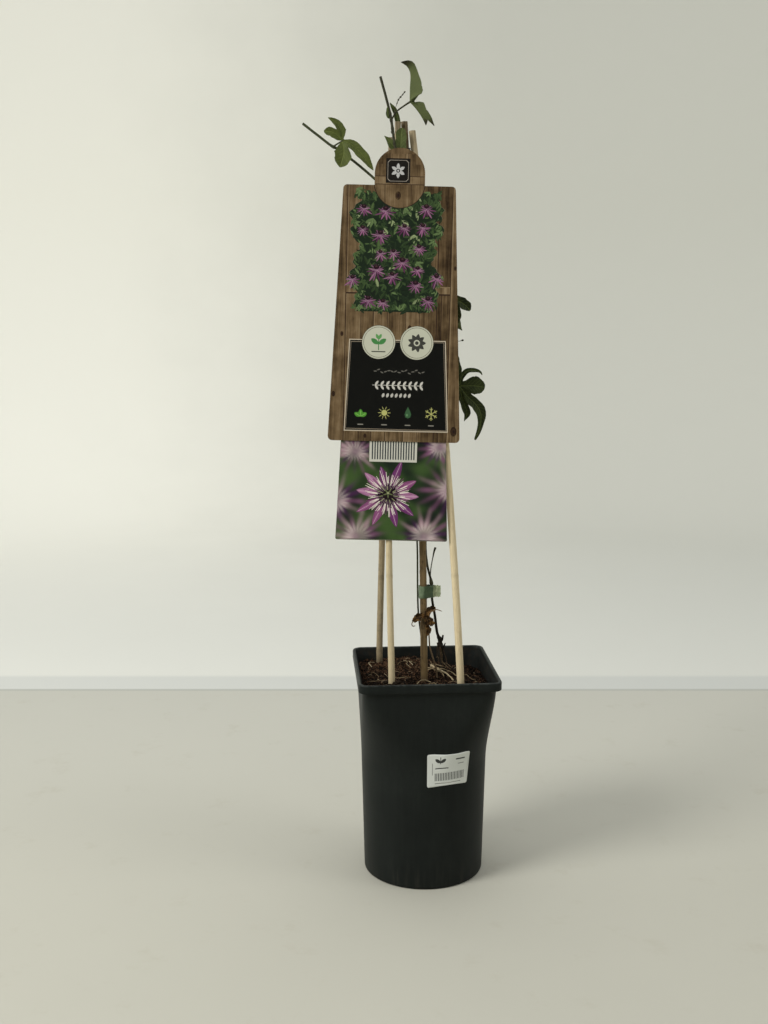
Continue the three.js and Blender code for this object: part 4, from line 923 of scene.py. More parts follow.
def onLobe(part, share, across):
    t = clamp(share)
    tangent = part["path"].tangent(t)
    sideways = tangent.cross(part["look"]).normalized()
    normal = sideways.cross(tangent)
    fold = part["fold"] * min(1, t * 5 + 0.1)
    wave = sin(share * part["length"] * 0.55 + across * 0.2)
    ripple = leafMake["ripple"] * (across / part["half"]) ** 2 * wave
    return (part["path"].at(t) + sideways * across * cos(fold)
            + normal * (abs(across) * sin(fold) + ripple))


def bladeOutline(lobes, axes, halves, notch):
    outline, last, count = [], len(lobes) - 1, leafMake["perSide"]
    for index, part in enumerate(lobes):
        rows = []
        for side in (-1, 1):
            free = index == (0 if side < 0 else last)
            start = 1.2 * notch(index - 1 if side < 0 else index) / part["length"]
            steepest = tan(1.2 if free else min(0.84 * halves[index], 1.2))
            row = []
            for step in range(count):
                share = mixed(start, 0.985, (step / (count - 1)) ** 0.85)
                wave = 1 + 0.06 * sin(share * 17 + index * 2 + side)
                teeth = 1 + 0.025 * sin(share * part["length"] * 2.6)
                wanted = part["half"] * smoothAlong(part["outline"], share) * wave * teeth
                row.append((share, side * min(wanted, share * part["length"] * steepest)))
            rows.append(row)
        for share, across in [*rows[0], (1, 0), *reversed(rows[1])]:
            run = share * part["length"]
            outline.append((axes[index] + atan2(across, run), hypot(across, run)))
        if index < last:
            outline.append((axes[index] + halves[index], notch(index)))
    return outline


def makeBlade(leaf, tone=0.5):
    lobes, webs = leaf["lobes"], leaf.get("webs", 0.26)
    fan, last = radians(leaf["fan"]), len(leaf["lobes"]) - 1
    whole = sum(part["sector"] for part in lobes)
    halves = [fan * part["sector"] / whole / 2 for part in lobes]
    axes = [-fan / 2 + 2 * sum(halves[:index]) + halves[index] for index in range(len(lobes))]

    # how far the notch after a lobe stands from the junction
    def notch(index):
        if index < 0 or index >= last:
            return 0.06 * lobes[min(max(index, 0), last)]["length"]
        web = webs[index] if isinstance(webs, list) else webs
        return web * (lobes[index]["length"] + lobes[index + 1]["length"]) / 2

    def place(angle, run):
        index = max(bisect.bisect_right(axes, angle) - 1, 0)
        near = [index, min(index + 1, last)]
        seam = axes[index] + halves[index]
        part = 0.5 + 0.5 * (angle - seam) / halves[near[0] if angle < seam else near[1]]
        beyond = exp(-max(0, run - notch(index)) / (0.3 * notch(index)))
        lean = sin(clamp(part) * pi / 2) ** 2
        second = 1 - (1 - lean) * beyond if lean > 0.5 else lean * beyond
        spot = Vector()
        ribs = []
        for order, which in enumerate(near):
            turned = angle - axes[which]
            weight = second if order else 1 - second
            reached = run * cos(turned)
            spot += weight * onLobe(lobes[which], reached / lobes[which]["length"], run * sin(turned))
            ribs.append((weight, abs(run * sin(turned)), reached, reached / lobes[which]["length"]))
        return spot, *max(ribs)[1:]

    outline = bladeOutline(lobes, axes, halves, notch)
    rings, count = leafMake["rings"], len(outline)
    spots = [place(0, 0)]
    for ring in range(1, rings + 1):
        spots += [place(angle, run * ring / rings) for angle, run in outline]
    face = []
    for side in range(count - 1):
        face.append((0, 1 + side, 2 + side))
        for ring in range(1, rings):
            a = 1 + (ring - 1) * count + side
            face.append((a, a + count, a + count + 1, a + 1))
    return thickened(spots, face, tone, leaf.get("dry", 0))


# Both faces of a blade, a thickness apart, and the rim between them
def thickened(spots, faces, tone, dry):
    normals = [Vector() for _ in spots]
    for corners in faces:
        a, b, c = (spots[index][0] for index in corners[:3])
        normal = (b - a).cross(c - a)
        for index in corners:
            normals[index] += normal
    points = [spot + normal.normalized() * sign * leafMake["thickness"] / 2
              for sign in (1, -1) for (spot, *_), normal in zip(spots, normals)]
    _, across, reached, shares = zip(*spots)
    count = len(spots)
    return points, backed(faces, count), {
        "rib": list(across) * 2, "run": list(reached) * 2, "under": [1] * count + [0] * count,
        "tip": [max(0, share - 0.5) * 2 * dry for share in shares] * 2, "tone": tone}


# Lobes spread evenly round a junction, for a leaf that hangs behind the label
def openLeaf(junction, direction, face, size, count, seed):
    state = seed

    def dice():
        nonlocal state
        state = (state * 1664525 + 1013904223) % 4294967296
        return state / 4294967296

    look = Vector(face).normalized()
    main = Vector(direction)
    main = (main - look * main.dot(look)).normalized()
    side = main.cross(look)
    lobes = []
    for index in range(count):
        share = 2 * index / (count - 1) - 1
        angle = share * radians(66 if count == 3 else 104)
        length = size * (1 - 0.34 * share * share) * (0.92 + 0.16 * dice())
        aim = main * cos(angle) + side * sin(angle)
        start = Vector(junction)
        droop = 0.1 + 0.16 * dice()
        middle = start + aim * 0.5 * length + look * 0.05 * length
        tip = start + aim * 0.96 * length - look * droop * length
        tip.z -= droop * length
        lobes.append(lobe([junction, middle, tip], 0.2 * length, 12 + 14 * dice(), face))
    return {"lobes": lobes, "fan": 190 if count == 3 else 260}


mainPath = [
    [22.6, 27.4, 213], [18.6, 23.4, 229], [15.3, 18, 236.5], [11.2, 5, 258], [7.2, -9.4, 275],
    [6.2, -10.4, 282], [5.8, -10.2, 295], [2.2, -5.6, 312], [0.6, -3.4, 335], [6, -1.5, 385], [14, 0, 430],
    [20.4, 2, 485], [20.4, 3.4, 540], [15.5, 3, 585], [8, -1, 617], [3.4, -8.6, 640], [-4.6, -12.6, 658],
    [-16, -11.4, 677], [-25.6, -9.6, 691], [-29.6, -9, 700], [-30.6, -8.6, 707], [-32.4, -7.4, 721],
    [-34.4, -6, 734], [-38.4, -5.4, 750], [-43.5, -5, 768],
]
mainRadii = [1.5, 1.3, 1.1, 1.1, 1.05, 1, 1, 1, 1.05, 1.1, 1.2, 1.2]

stumpPath = [
    [26.4, 31.4, 184], [23.6, 29.4, 198], [21, 27.6, 209], [19.6, 26.6, 219], [18.8, 25.8, 227],
    [19.2, 25.4, 231],
]
stumpRadii = [3.2, 3.2, 2.7, 2.5, 2.2, 0.9]

# Side growths of the main vine: petioles, tendrils and stubs as [points, radii]
mainTwigs = [
    [[[4.8, -9, 297], [5.2, -9.4, 308], [8.6, -9.6, 327], [9.6, -9.8, 330]], [0.6, 0.5, 0.5, 1.1]],
    [[[10.8, -0.8, 409], [18, -2, 404], [25.2, -3.4, 399]], [0.9, 0.8, 0.7]],
    [[[20.5, 2.2, 505], [25, 5, 512], [29.5, 5.4, 507], [31.6, 4, 497], [33, 1.3, 485.2]],
        [0.9, 0.8, 0.8, 0.8, 0.9]],
    [[[20.4, 3.2, 536], [25.4, 2.4, 530], [31.5, 2, 528.2], [36.4, 2, 529.4]], [0.6, 0.5, 0.5, 1]],
    [[[19.4, 3.4, 552], [22.6, 4, 563], [26.8, 3.2, 568.6]], [0.8, 0.8, 0.8]],
    [[[14.4, 0.4, 432], [9, 13, 452], [1, 26, 468]], [0.9, 0.8, 0.8]],
    [[[19.4, 3.4, 550], [14, 16, 557], [8, 28.8, 565]], [0.9, 0.8, 0.8]],
    [[[-33.6, -6.4, 730], [-28.4, -7.6, 737.4], [-22.6, -8.8, 741.6], [-16, -9.8, 745.8]],
        [0.9, 0.75, 0.75, 0.9]],
    [[[-31, -7.4, 735.6], [-29.6, -8.6, 741], [-26.9, -9, 747.8], [-24.4, -9, 750.6], [-21, -9, 754.8]],
        [0.6, 0.45, 0.75, 0.45, 0.7]],
    [[[-31, -7.4, 709], [-28.6, -9.8, 702.6], [-25, -8.8, 699.3]], [0.8, 0.75, 0.75]],
    [[[-32.4, -7.4, 722], [-33, -2.6, 719.8], [-31, 3.4, 718.6], [-27, 5.2, 717.2]], [0.8, 0.7, 0.7, 0.7]],
]

# The old crown's cut stubs
crownTwigs = [
    [[[18.8, 25.8, 226], [16.8, 23.6, 231], [16, 22.4, 234.6]], [1.3, 1.2, 1]],
    [[[19.2, 26, 224], [21.6, 26.4, 229.4], [22, 26.4, 232.4]], [1.2, 1, 0.8]],
    [[[20, 27, 217], [22.8, 25.6, 220.6], [24.2, 25, 224.4]], [1, 0.8, 0.5]],
    [[[19.6, 26.6, 219], [17, 25.4, 222], [15.8, 24.6, 225]], [0.9, 0.7, 0.5]],
]

# Tendrils: thin threads with dried beads, as share of the length, height and width
twigBeads = {
    3: [(0, 0.3, 1.2), (0.97, 0.8, 1.2)],
    8: [(0, 0.3, 1.2), (0.42, 0.5, 0.7), (0.56, 0.7, 0.8), (0.7, 0.8, 0.8), (0.83, 0.6, 0.7),
        (0.96, 0.65, 0.8)],
}

mainLeaves = [
    # the large leaf at the top, folded along its midribs
    {"fan": 290, "webs": 0.2, "dry": 0.9, "lobes": [
        lobe([[-16.8, -10, 745.3], [-16.7, -10, 757.2], [-16.4, -10, 770.4], [-19.4, -10.3, 776.2],
            [-25.3, -11, 779.8]], 14.4, 56, [1, 0, 0.06], [0, 0.66, 0.88, 0.96, 0.84, 0.68, 0.58, 0.54, 0.5,
            0.3, 0.04], 1.3),
        lobe([[-16.8, -10, 745.3], [-11.4, -10.6, 740.7], [-5.2, -11.6, 733.6], [0.4, -12.6, 728.4],
            [5.5, -13.4, 723.8]], 8.2, 50, [0.7, 0.1, 0.7], [0, 0.75, 0.95, 1, 0.9, 0.84, 0.74, 0.6, 0.5, 0.26,
            0.03], 1.1),
        lobe([[-16.8, -10, 745.3], [-10.6, -9, 739], [-5, -7.6, 731.6], [-1.6, -7, 725.2]], 5, 40,
            [0.7, 0.1, 0.7], [0, 0.6, 0.8, 0.9, 1, 1, 1, 0.95, 0.85, 0.6, 0.1], 0.6),
    ]},
    # the low leaf in front of the canes' tops
    {"fan": 130, "webs": 0.2, "lobes": [
        lobe([[-25, -8.6, 699], [-32.6, -8.2, 707], [-37, -8.4, 712.6], [-40.4, -8.6, 715.6]], 3.6, 14, front),
        lobe([[-25, -8.6, 699], [-25, -8.2, 708], [-24.7, -8, 715], [-23.6, -7.8, 722.6]], 5.2, 14, front,
            [0, 0.6, 0.85, 1, 1, 1, 1, 0.98, 0.92, 0.75, 0.35], 1.4),
    ]},
    # the narrow leaf that rises between the canes' tops
    {"fan": 100, "lobes": [
        lobe([[-27, 5.2, 717], [-26.6, 5.6, 727], [-27.6, 4.6, 734.6], [-30.4, 2.6, 740.6], [-34.4, 1, 746.4]],
            2.5, 16, front, [0, 0.8, 1, 1, 1, 1, 1, 0.95, 0.8, 0.5, 0.1]),
    ]},
    # the small scale leaf at the upper joint
    {"fan": 60, "lobes": [
        lobe([[-34, -6, 731], [-36.6, -6.6, 732.6], [-37.2, -7, 741.2]], 1.4, 20, front, blunt),
    ]},
    # the lower leaf at the right edge of the label
    {"fan": 310, "webs": [0.2, 0.2, 0.3, 0.4, 0.2], "lobes": [
        lobe([[33, 1, 485.6], [30.6, 2, 500], [28.2, 3, 512], [27, 3.4, 520]], 5, 10, front,
            [0, 0.6, 0.85, 1, 1, 1, 0.9, 0.85, 0.8, 0.65, 0.3], 0.8),
        lobe([[33, 1, 485.6], [35.6, 1.6, 495], [41, 2.2, 500.2], [48, 2, 500.4], [53, 1.6, 498.9],
            [55, 1, 495.8]], 2.6, 20, [0.1, -1, 0.3], [0, 0.8, 1, 1, 1, 1, 0.9, 0.8, 0.6, 0.4, 0.1], 0.6),
        lobe([[33, 1, 485.6], [44, -1, 486], [51, -2, 485.4], [57, -3, 484.4]], 9.2, 10, [0.1, -1, 0.1],
            [0, 0.45, 0.75, 0.95, 1, 1, 0.98, 0.92, 0.8, 0.6, 0.25], 1.7),
        lobe([[33, 1, 485.6], [41.4, -1, 475], [48.4, -2, 468.4], [53.2, -2, 461], [53.9, -1.4, 452],
            [52.4, -0.6, 443.6], [48.2, 0, 433.4]], 5.3, 12, front, [0, 0.35, 0.7, 0.95, 1, 0.97, 0.85, 0.6,
            0.45, 0.35, 0.2], 1.1),
        lobe([[33, 1, 485.6], [35.6, 1, 475], [38.4, 1, 467], [40.6, 1, 459.6], [37.8, 1, 451.6]], 4, 14,
            [-0.1, -1, 0], [0, 0.5, 0.7, 0.85, 0.95, 1, 1, 0.95, 0.75, 0.4, 0.05], 0.8),
        lobe([[33, 1, 485.6], [25, 4, 478], [17.6, 7, 466]], 5, 20, [-0.2, -1, 0.1]),
    ]},
    # the upper leaf at the right edge of the label
    {"fan": 220, "webs": 0.28, "lobes": [
        lobe([[26.3, 3, 568], [22, 6, 578], [15, 9, 586]], 6, 20, [0.1, -1, 0.2]),
        lobe([[26.3, 3, 568], [33, 2.4, 565.4], [38.6, 1.6, 561.4], [42.6, 1, 557.2]], 5.4, 14, [0.1, -1, 0.1],
            [0, 0.6, 0.9, 1, 1, 1, 0.98, 0.92, 0.8, 0.55, 0.2]),
        lobe([[26.3, 3, 568], [29.6, 3.6, 557], [30.4, 4.4, 549], [29.6, 5, 541.4]], 4.4, 16, front),
    ]},
    openLeaf([1, 26, 468], [-0.1, 0.5, -0.8], [0, 1, 0.3], 32, 5, 11),
    openLeaf([8, 29, 565], [0.1, 0.4, -0.9], [0.1, 1, 0.3], 44, 5, 12),
]

# The thin vine: up the left side of the centre cane, across the front left cane behind the label,
# and out to the left to its cut end
leftPath = [
    [-0.6, -9.8, 186], [-1, -9.6, 205], [-3.4, -8.6, 238], [-6.8, -9.2, 266], [-8, -8, 332], [-10.4, -6, 390],
    [-14, -4.6, 450], [-17.4, -5, 510], [-21, -7.4, 560], [-26, -11, 598], [-31.2, -12.5, 622],
    [-36, -11.9, 645], [-39.6, -9.4, 662], [-44, -6, 672.6], [-49.9, -4.2, 678.4], [-63.2, -3, 689.5],
    [-74.7, -2.4, 698.4], [-81, -2, 703.6], [-87.6, -2, 706.4], [-100.9, -2, 716], [-114.8, -2, 726.4],
]
leftRadii = [0.9, 0.85, 0.85, 0.9, 0.95, 1, 1.1, 1.2, 1.2]

leftTwigs = [
    [[[-87, -2.2, 706], [-83, -5.4, 708.4], [-78, -8.2, 710.8]], [0.9, 0.75, 0.8]],
    [[[-12.4, -5, 428], [-22, -2, 440], [-44, 2, 452], [-54, 4, 462]], [0.8, 0.75, 0.75, 0.75]],
    [[[-17.4, -5, 512], [-17, 10, 522], [-9, 28, 527]], [0.8, 0.75, 0.75]],
    [[[-35, -12, 640], [-46, -8, 634], [-58, 2, 622]], [0.8, 0.75, 0.75]],
]

leftLeaves = [
    # the leaf on the left shoot
    {"fan": 300, "webs": [0.5, 0.06, 0.28], "lobes": [
        lobe([[-78.8, -8, 711], [-83, -7.6, 715.2], [-88.4, -7.4, 718.6], [-95.6, -7, 719.2]], 4.4, 12, front,
            [0, 0.5, 0.8, 0.95, 1, 1, 1, 0.95, 0.85, 0.62, 0.2]),
        lobe([[-78.8, -8, 711], [-79.6, -8.6, 717.6], [-82.2, -9.2, 723.6], [-86.4, -9.6, 728],
            [-91.8, -10, 730.8]], 4.6, 20, [0.2, -1, 0.1], [0, 0.4, 0.75, 1, 1, 0.95, 0.8, 0.65, 0.5, 0.3,
            0.05]),
        lobe([[-78.8, -8, 711], [-72, -8.8, 708], [-67, -9.4, 704.4], [-62.4, -9.8, 699.9], [-57.2, -10, 694],
            [-50.3, -9.6, 684.4]], 5, 20, [0, -1, 0.3], [0, 0.6, 0.9, 1, 1, 1, 0.95, 0.85, 0.65, 0.4, 0.05]),
        lobe([[-78.9, -8, 710.3], [-77.6, -9.6, 700.4], [-81, -10, 686.8]], 8.4, 12, [0, -1, 0.1], blunt),
    ]},
    openLeaf([-54, 4, 462], [-0.5, 0.2, -0.6], [-0.4, 0.9, 0.3], 34, 5, 21),
    openLeaf([-9, 28, 527], [0.2, 0.4, -0.7], [0.1, 1, 0.3], 35, 5, 22),
    openLeaf([-58, 2, 622], [-0.3, 0.2, -0.8], [-0.4, 0.9, 0.2], 30, 3, 23),
]

driedStrand = [[[-0.4, -19.6, 262.6], [1.8, -18, 255], [3.6, -12, 243], [5, -7.4, 230], [8.6, -5, 217],
    [12.4, -2.4, 204], [13.6, -1, 194]], [0.9, 0.75, 0.75, 0.95, 0.85]]
driedHook = [[[-10.6, -19.8, 260], [-14, -19.8, 257.6], [-13.4, -19.8, 254.4], [-11, -19.6, 254.6]],
    [0.5, 0.45, 0.45, 0.45]]
driedSpike = [[[5, -20, 269], [9, -20.6, 270.8], [12, -20.6, 270.2], [15, -20.4, 268.9]], [0.7, 0.5, 0.3]]
driedLeaf = {"fan": 290, "webs": 0.3, "lobes": [
    lobe([[-0.4, -19.6, 263], [-4.6, -20.6, 265], [-8.6, -20.4, 263.6], [-13.2, -19.4, 258.4]], 4.2, 36,
        [0.2, -1, 0.3], blunt),
    lobe([[-0.4, -19.6, 263], [1.6, -20.4, 268.4], [5, -19.2, 271], [8.8, -17, 268]], 4, 40,
        [0.1, -1, 0.4], blunt),
    lobe([[-0.4, -19.6, 263], [4, -20.6, 259.6], [5.6, -19, 253.6]], 3.6, 36, [0.3, -1, 0], blunt),
    lobe([[-0.4, -19.6, 263], [1.2, -21, 256], [2, -20.6, 250], [0.6, -19.8, 244]], 2.8, 44, [0, -1, 0.1],
        blunt),
]}


def leafFinish(name, dark, pale, under):
    finish = Finish(name, 0.5, Specular_IOR_Level=0.16)
    place = finish.place()
    rib, run, tone = finish.spread("rib"), finish.spread("run"), finish.spread("tone")
    cloud = finish.noise(place, 0.12, 4, 0.6)
    fine = finish.noise(place, 0.9, 3, 0.6)
    midrib = 1 - finish.step(rib, 0.12, 0.5)
    # side veins leave the midrib at a slant, about 3.4 mm apart
    slant = (run - rib * 0.85) / 3.4
    ridge = finish.math("ABSOLUTE", slant - finish.math("ROUND", slant))
    vein = (1 - finish.step(ridge, 0.03, 0.11)) * (1 - finish.step(rib, 3, 9) * 0.6)
    net = 1 - finish.step(finish.cells(place, 1.1, "DISTANCE_TO_EDGE"), 0.02, 0.12)
    shade = cloud * 0.5 + fine * 0.2 + tone * 0.3
    color = finish.ramp(shade, [(0.3, dark), (0.52, mixedColor(dark, pale, 0.5)), (0.72, pale)])
    veined = finish.math("MAXIMUM", midrib, vein * 0.45)
    color = finish.mix(veined * 0.55, color, tint(pale, 1.9))
    color = finish.mix(finish.spread("under") * 0.6, color, under)
    withered = finish.step(finish.spread("tip") + fine * 0.25 - 0.12, 0.35, 0.75)
    color = finish.mix(withered, color, (0.022, 0.02, 0.009))
    finish.feed("Base Color", color)
    finish.feed("Roughness", 0.42 + fine * 0.2 + finish.spread("under") * 0.2)
    finish.bump((1 - midrib) * 1 + (1 - vein) * 0.5 + (1 - net) * 0.18 + cloud * 0.4, 0.35, 0.7)
    return finish


def stemFinish(name, dark, pale):
    finish = Finish(name, 0.55, Specular_IOR_Level=0.16)
    place = finish.place()
    cloud = finish.noise(place, 0.25, 4, 0.6)
    fine = finish.noise(finish.place((1, 1, 0.15)), 2, 3, 0.6)
    color = finish.ramp(cloud * 0.6 + fine * 0.4, [(0.35, dark), (0.65, pale)])
    z = finish.split(place)[2]
    bark = 1 - finish.step(z + cloud * 60, 255, 345)
    color = finish.mix(bark * 0.85, color, (0.012, 0.009, 0.007))
    finish.feed("Base Color", finish.mix(finish.spread("cut"), color, (0.1, 0.085, 0.05)))
    finish.feed("Roughness", 0.45 + fine * 0.25 + bark * 0.2)
    finish.bump(fine + cloud * 0.5, 0.25, 0.7)
    return finish


# A stem with swellings, each as its share of the length, height and width
def addStem(shape, points, radii, sides, seed, swells, ridges=0.05):
    path = Path(points, 12)
    steps = max(int(path.length / 1.1), 6)

    def radiusAt(share, angle):
        base = along(radii, share)
        for near, height, width in swells:
            base += height * exp(-(((share - near) * path.length / width) ** 2))
        bark = noise.noise(Vector((share * path.length * 0.35, angle, seed)))
        return base * (1 + ridges * cos(5 * angle + 3 * share) + 0.04 * bark)

    loops = tubeLoops(path, steps, sides, radiusAt)
    end = path.at(1)
    loops.append([end + (Vector(p) - end) * 0.82 + path.tangent(1) * 0.1 for p in loops[-1]])
    cuts = [0] * ((steps + 1) * sides) + [1] * sides + [0, 1]
    shape.add(*skin(loops), cut=cuts)


def shareOf(points, spot):
    path = Path(points, 12)
    spot = Vector(spot)
    nearest = min(range(len(path.line)), key=lambda index: (path.line[index] - spot).length)
    return path.run[nearest] / path.length


vines = {
    "main_vine": {
        "path": mainPath, "radii": mainRadii, "twigs": mainTwigs, "beads": twigBeads, "leaves": mainLeaves,
        "tones": [0.75, 0.85, 0.6, 0.4, 0.15, 0.05, 0.3, 0.4],
        "joint": (0.35, 1.6), "extraJoint": ((6.9, 3, 293), 0.8, 1.9), "seed": 2,
        "stemColors": ((0.013, 0.014, 0.008), (0.048, 0.048, 0.024)),
        "leafColors": ((0.012, 0.02, 0.006), (0.077, 0.098, 0.027), (0.085, 0.102, 0.042)),
    },
    "left_vine": {
        "path": leftPath, "radii": leftRadii, "twigs": leftTwigs, "beads": {}, "leaves": leftLeaves,
        "tones": [0.85, 0.4, 0.3, 0.5], "joint": (0.4, 1.7), "seed": 30,
        "stemColors": ((0.022, 0.026, 0.013), (0.06, 0.07, 0.03)),
        "leafColors": ((0.02, 0.03, 0.007), (0.086, 0.106, 0.025), (0.092, 0.108, 0.04)),
    },
}


def addStump(stems):
    addStem(stems, stumpPath, stumpRadii, 22, 1, [(0.62, 0.5, 2.5), (0.82, 0.8, 2.2), (0.93, 0.6, 1.6)], 0.16)
    for points, radii in crownTwigs:
        addStem(stems, points, radii, 9, 60, [(0.5, 0.25, 1.5)], 0.12)


def buildVine(name, vine, stems):
    joints = [(shareOf(vine["path"], twig[0][0]), *vine["joint"]) for twig in vine["twigs"]]
    if "extraJoint" in vine:
        spot, *swell = vine["extraJoint"]
        joints.append((shareOf(vine["path"], spot), *swell))
    addStem(stems, vine["path"], vine["radii"], 14, vine["seed"], joints)
    for index, (points, radii) in enumerate(vine["twigs"]):
        beads = vine["beads"].get(index)
        if beads:
            radii = [0.5, *[0.22] * 5]
        addStem(stems, points, radii, 9, vine["seed"] + 1 + index, beads or [(0, 0.35, 1.2)])
    piece = stems.piece(name + "_stems", [stemFinish(name + "_stem", *vine["stemColors"])], 50)
    standFor(piece, "vine", name)
    blades = Shape()
    for leaf, tone in zip(vine["leaves"], vine["tones"]):
        points, faces, values = makeBlade(leaf, tone)
        blades.add(points, faces, **values)
    piece = blades.piece(name + "_leaves", [leafFinish(name + "_leaf", *vine["leafColors"])], 55)
    standFor(piece, "vine", name)


for vineName, vineSpec in vines.items():
    vineStems = Shape()
    if vineName == "main_vine":
        addStump(vineStems)
    buildVine(vineName, vineSpec, vineStems)
print("vines made")


def buildDriedLeaf():
    dead = Shape()
    for points, radii in (driedStrand, driedHook, driedSpike):
        path = Path(points, 12)
        loops = tubeLoops(path, max(int(path.length), 8), 7, lambda share, angle: along(radii, share))
        dead.add(*skin(loops), rib=9, run=0, under=0, tip=0, tone=0.95)
    points, faces, values = makeBlade(driedLeaf, 0.3)
    points = [p + 1.5 * noise.noise_vector(p * 0.3) + 0.6 * noise.noise_vector(p * 0.8) for p in points]
    dead.add(points, faces, **values)
    finish = Finish("leaf_dead", 0.75, Specular_IOR_Level=0.12)
    place = finish.place()
    cloud = finish.noise(place, 0.22, 4, 0.65)
    fine = finish.noise(place, 1.3, 3, 0.6)
    midrib = 1 - finish.step(finish.spread("rib"), 0.15, 0.5)
    color = finish.ramp(cloud * 0.7 + fine * 0.3, [
        (0.36, (0.01, 0.006, 0.003)), (0.5, (0.046, 0.025, 0.01)), (0.6, (0.19, 0.1, 0.032)),
        (0.72, (0.37, 0.245, 0.105))])
    color = finish.mix(finish.step(finish.spread("tone"), 0.5, 0.9) * 0.8, color, (0.2, 0.145, 0.09))
    color = finish.mix(midrib * 0.4, color, (0.3, 0.2, 0.11))
    finish.feed("Base Color", color)
    finish.bump(fine + cloud + midrib, 0.5, 0.8)
    standFor(dead.piece("dried_leaf_curled", [finish], 60), "dry_leaf", "dried_leaf")


buildDriedLeaf()
print("dried leaf made")

# The card label: a print is drawn as flat shapes in millimetres, the later ones over the earlier
label = {
    "foot": (-35.2, -30.9, 345), "turn": -4, "lean": -3.32, "roll": 1.35,
    "boardLow": 90.5, "boardHigh": 326.2, "boardHalfLow": 62.2, "boardHalfHigh": 51.7,
    "boardBack": 0.9, "boardThickness": 0.8,
    "tabRadius": 23.2, "tabHigh": 360,
    "cardLow": -3.4, "cardHigh": 318, "cardHalfLow": 53.1, "cardHalfHigh": 41, "cardThickness": 0.6,
}


class Print:
    def __init__(self, outline, ink):
        self.outline = outline
        self.rings = []
        self.inks = [ink]

    def add(self, ring, ink):
        self.rings.append(ring)
        self.inks.append(ink)

    # a ring put down at a place, turned and then squashed
    def put(self, ring, ink, x, y, aim=0, squash=1):
        c, s = cos(aim), sin(aim)
        self.add([(x + u * c - v * s, y + (u * s + v * c) * squash) for u, v in ring], ink)


# A pointed oval that starts at its base and runs along +u
def petal(length, width, widest=0.5):
    shares = [(0.1, 0.42), (0.28, 0.82), (widest, 1), (0.76, 0.78), (0.92, 0.38)]
    upper = [(share * length, part * width / 2) for share, part in shares]
    return [(0, 0)] + [(u, -v) for u, v in upper] + [(length, 0)] + list(reversed(upper))


def bar(length, wide, wideEnd=None):
    end = wide if wideEnd is None else wideEnd
    return [(0, -wide / 2), (length, -end / 2), (length, end / 2), (0, wide / 2)]


def box(left, low, right, high):
    return [(left, low), (right, low), (right, high), (left, high)]


# A polygon with every corner rounded off: corners as (x, y, radius)
def rounded(corners, steps=5):
    ring = []
    for index, (x, y, radius) in enumerate(corners):
        here = Vector((x, y))
        before, after = Vector(corners[index - 1][:2]), Vector(corners[(index + 1) % len(corners)][:2])
        start, end = here + (before - here).normalized() * radius, here + (after - here).normalized() * radius
        for step in range(steps + 1):
            t = step / steps
            spot = start * (1 - t) ** 2 + here * 2 * t * (1 - t) + end * t * t
            ring.append((spot.x, spot.y))
    return ring


# The same print in fewer triangles: only the edges where the ink changes are cut again
def mergeInks(flat, triangles):
    inkOf = {edge: max(within) for face, within in triangles for edge in zip(face, face[1:] + face[:1])}
    kept = [edge for edge, ink in inkOf.items() if inkOf.get(edge[::-1]) != ink]
    numbers = sorted({index for edge in kept for index in edge})
    place = {index: order for order, index in enumerate(numbers)}
    lines = [(place[a], place[b]) for a, b in kept]
    points = [Vector(flat[index]) for index in numbers]
    verts, _, faces, _, _, _ = geometry.delaunay_2d_cdt(points, lines, [], 1, 1e-5)
    whole = bvhtree.BVHTree.FromPolygons([(x, y, 0) for x, y in flat], [face for face, _ in triangles])
    merged = []
    for face in faces:
        middle = sum((verts[index] for index in face), Vector((0, 0))) / 3
        merged.append((tuple(face), triangles[whole.find_nearest((middle.x, middle.y, 0))[2]][1]))
    return [(v.x, v.y) for v in verts], merged


# A sheet with its print in front: place(u, v, depth) puts a point in space, and depth 0 is the back
def sheetPiece(name, printed, place, thickness, finishes, cell=0):
    flat, triangles = cutSheet(printed.outline, printed.rings, cell)
    if not cell:
        flat, triangles = mergeInks(flat, triangles)
    follows = dict(openEdges([face for face, _ in triangles]))
    ring = [min(follows)]
    while follows[ring[-1]] != ring[0]:
        ring.append(follows[ring[-1]])
    points = [place(u, v, thickness) for u, v in flat]
    faces, colors = [], []
    for face, within in triangles:
        ink = printed.inks[max(within)]
        faces.append(face)
        colors += [(*(ink(*flat[index]) if callable(ink) else ink), 1)[:4] for index in face]
    front, start = len(faces), len(points)
    edge = [flat[index] for index in ring]
    points += [place(u, v, 0) for u, v in edge]
    for side, index in enumerate(ring):
        after = (side + 1) % len(ring)
        faces.append((start + side, start + after, ring[after], index))
    sides = {(round(u, 3), round(v, 3)): side for side, (u, v) in enumerate(edge)}
    backFlat, backTriangles = cutSheet(edge, [], cell)
    known = [sides.get((round(u, 3), round(v, 3))) for u, v in backFlat]
    for index, (u, v) in enumerate(backFlat):
        if known[index] is None:
            known[index] = len(points) - start
            points.append(place(u, v, 0))
    faces += [tuple(start + known[index] for index in reversed(face)) for face, _ in backTriangles]
    colors += [(0.5, 0.5, 0.5, 1)] * (sum(len(face) for face in faces) - len(colors))
    kinds = [0] * front + [1] * (len(faces) - front)
    piece = addPiece(name, points, faces, finishes, 30, kinds, colors)
    spots = [(u, v, 0) for u, v in flat + edge]
    spreadOver(piece, "sheet", spots + [(0, 0, 0)] * (len(points) - len(spots)), "FLOAT_VECTOR")
    return piece


labelTurned = (Matrix.Translation(label["foot"]) @ Matrix.Rotation(radians(label["turn"]), 4, "Z")
               @ Matrix.Rotation(radians(label["lean"]), 4, "X")
               @ Matrix.Rotation(radians(label["roll"]), 4, "Y"))


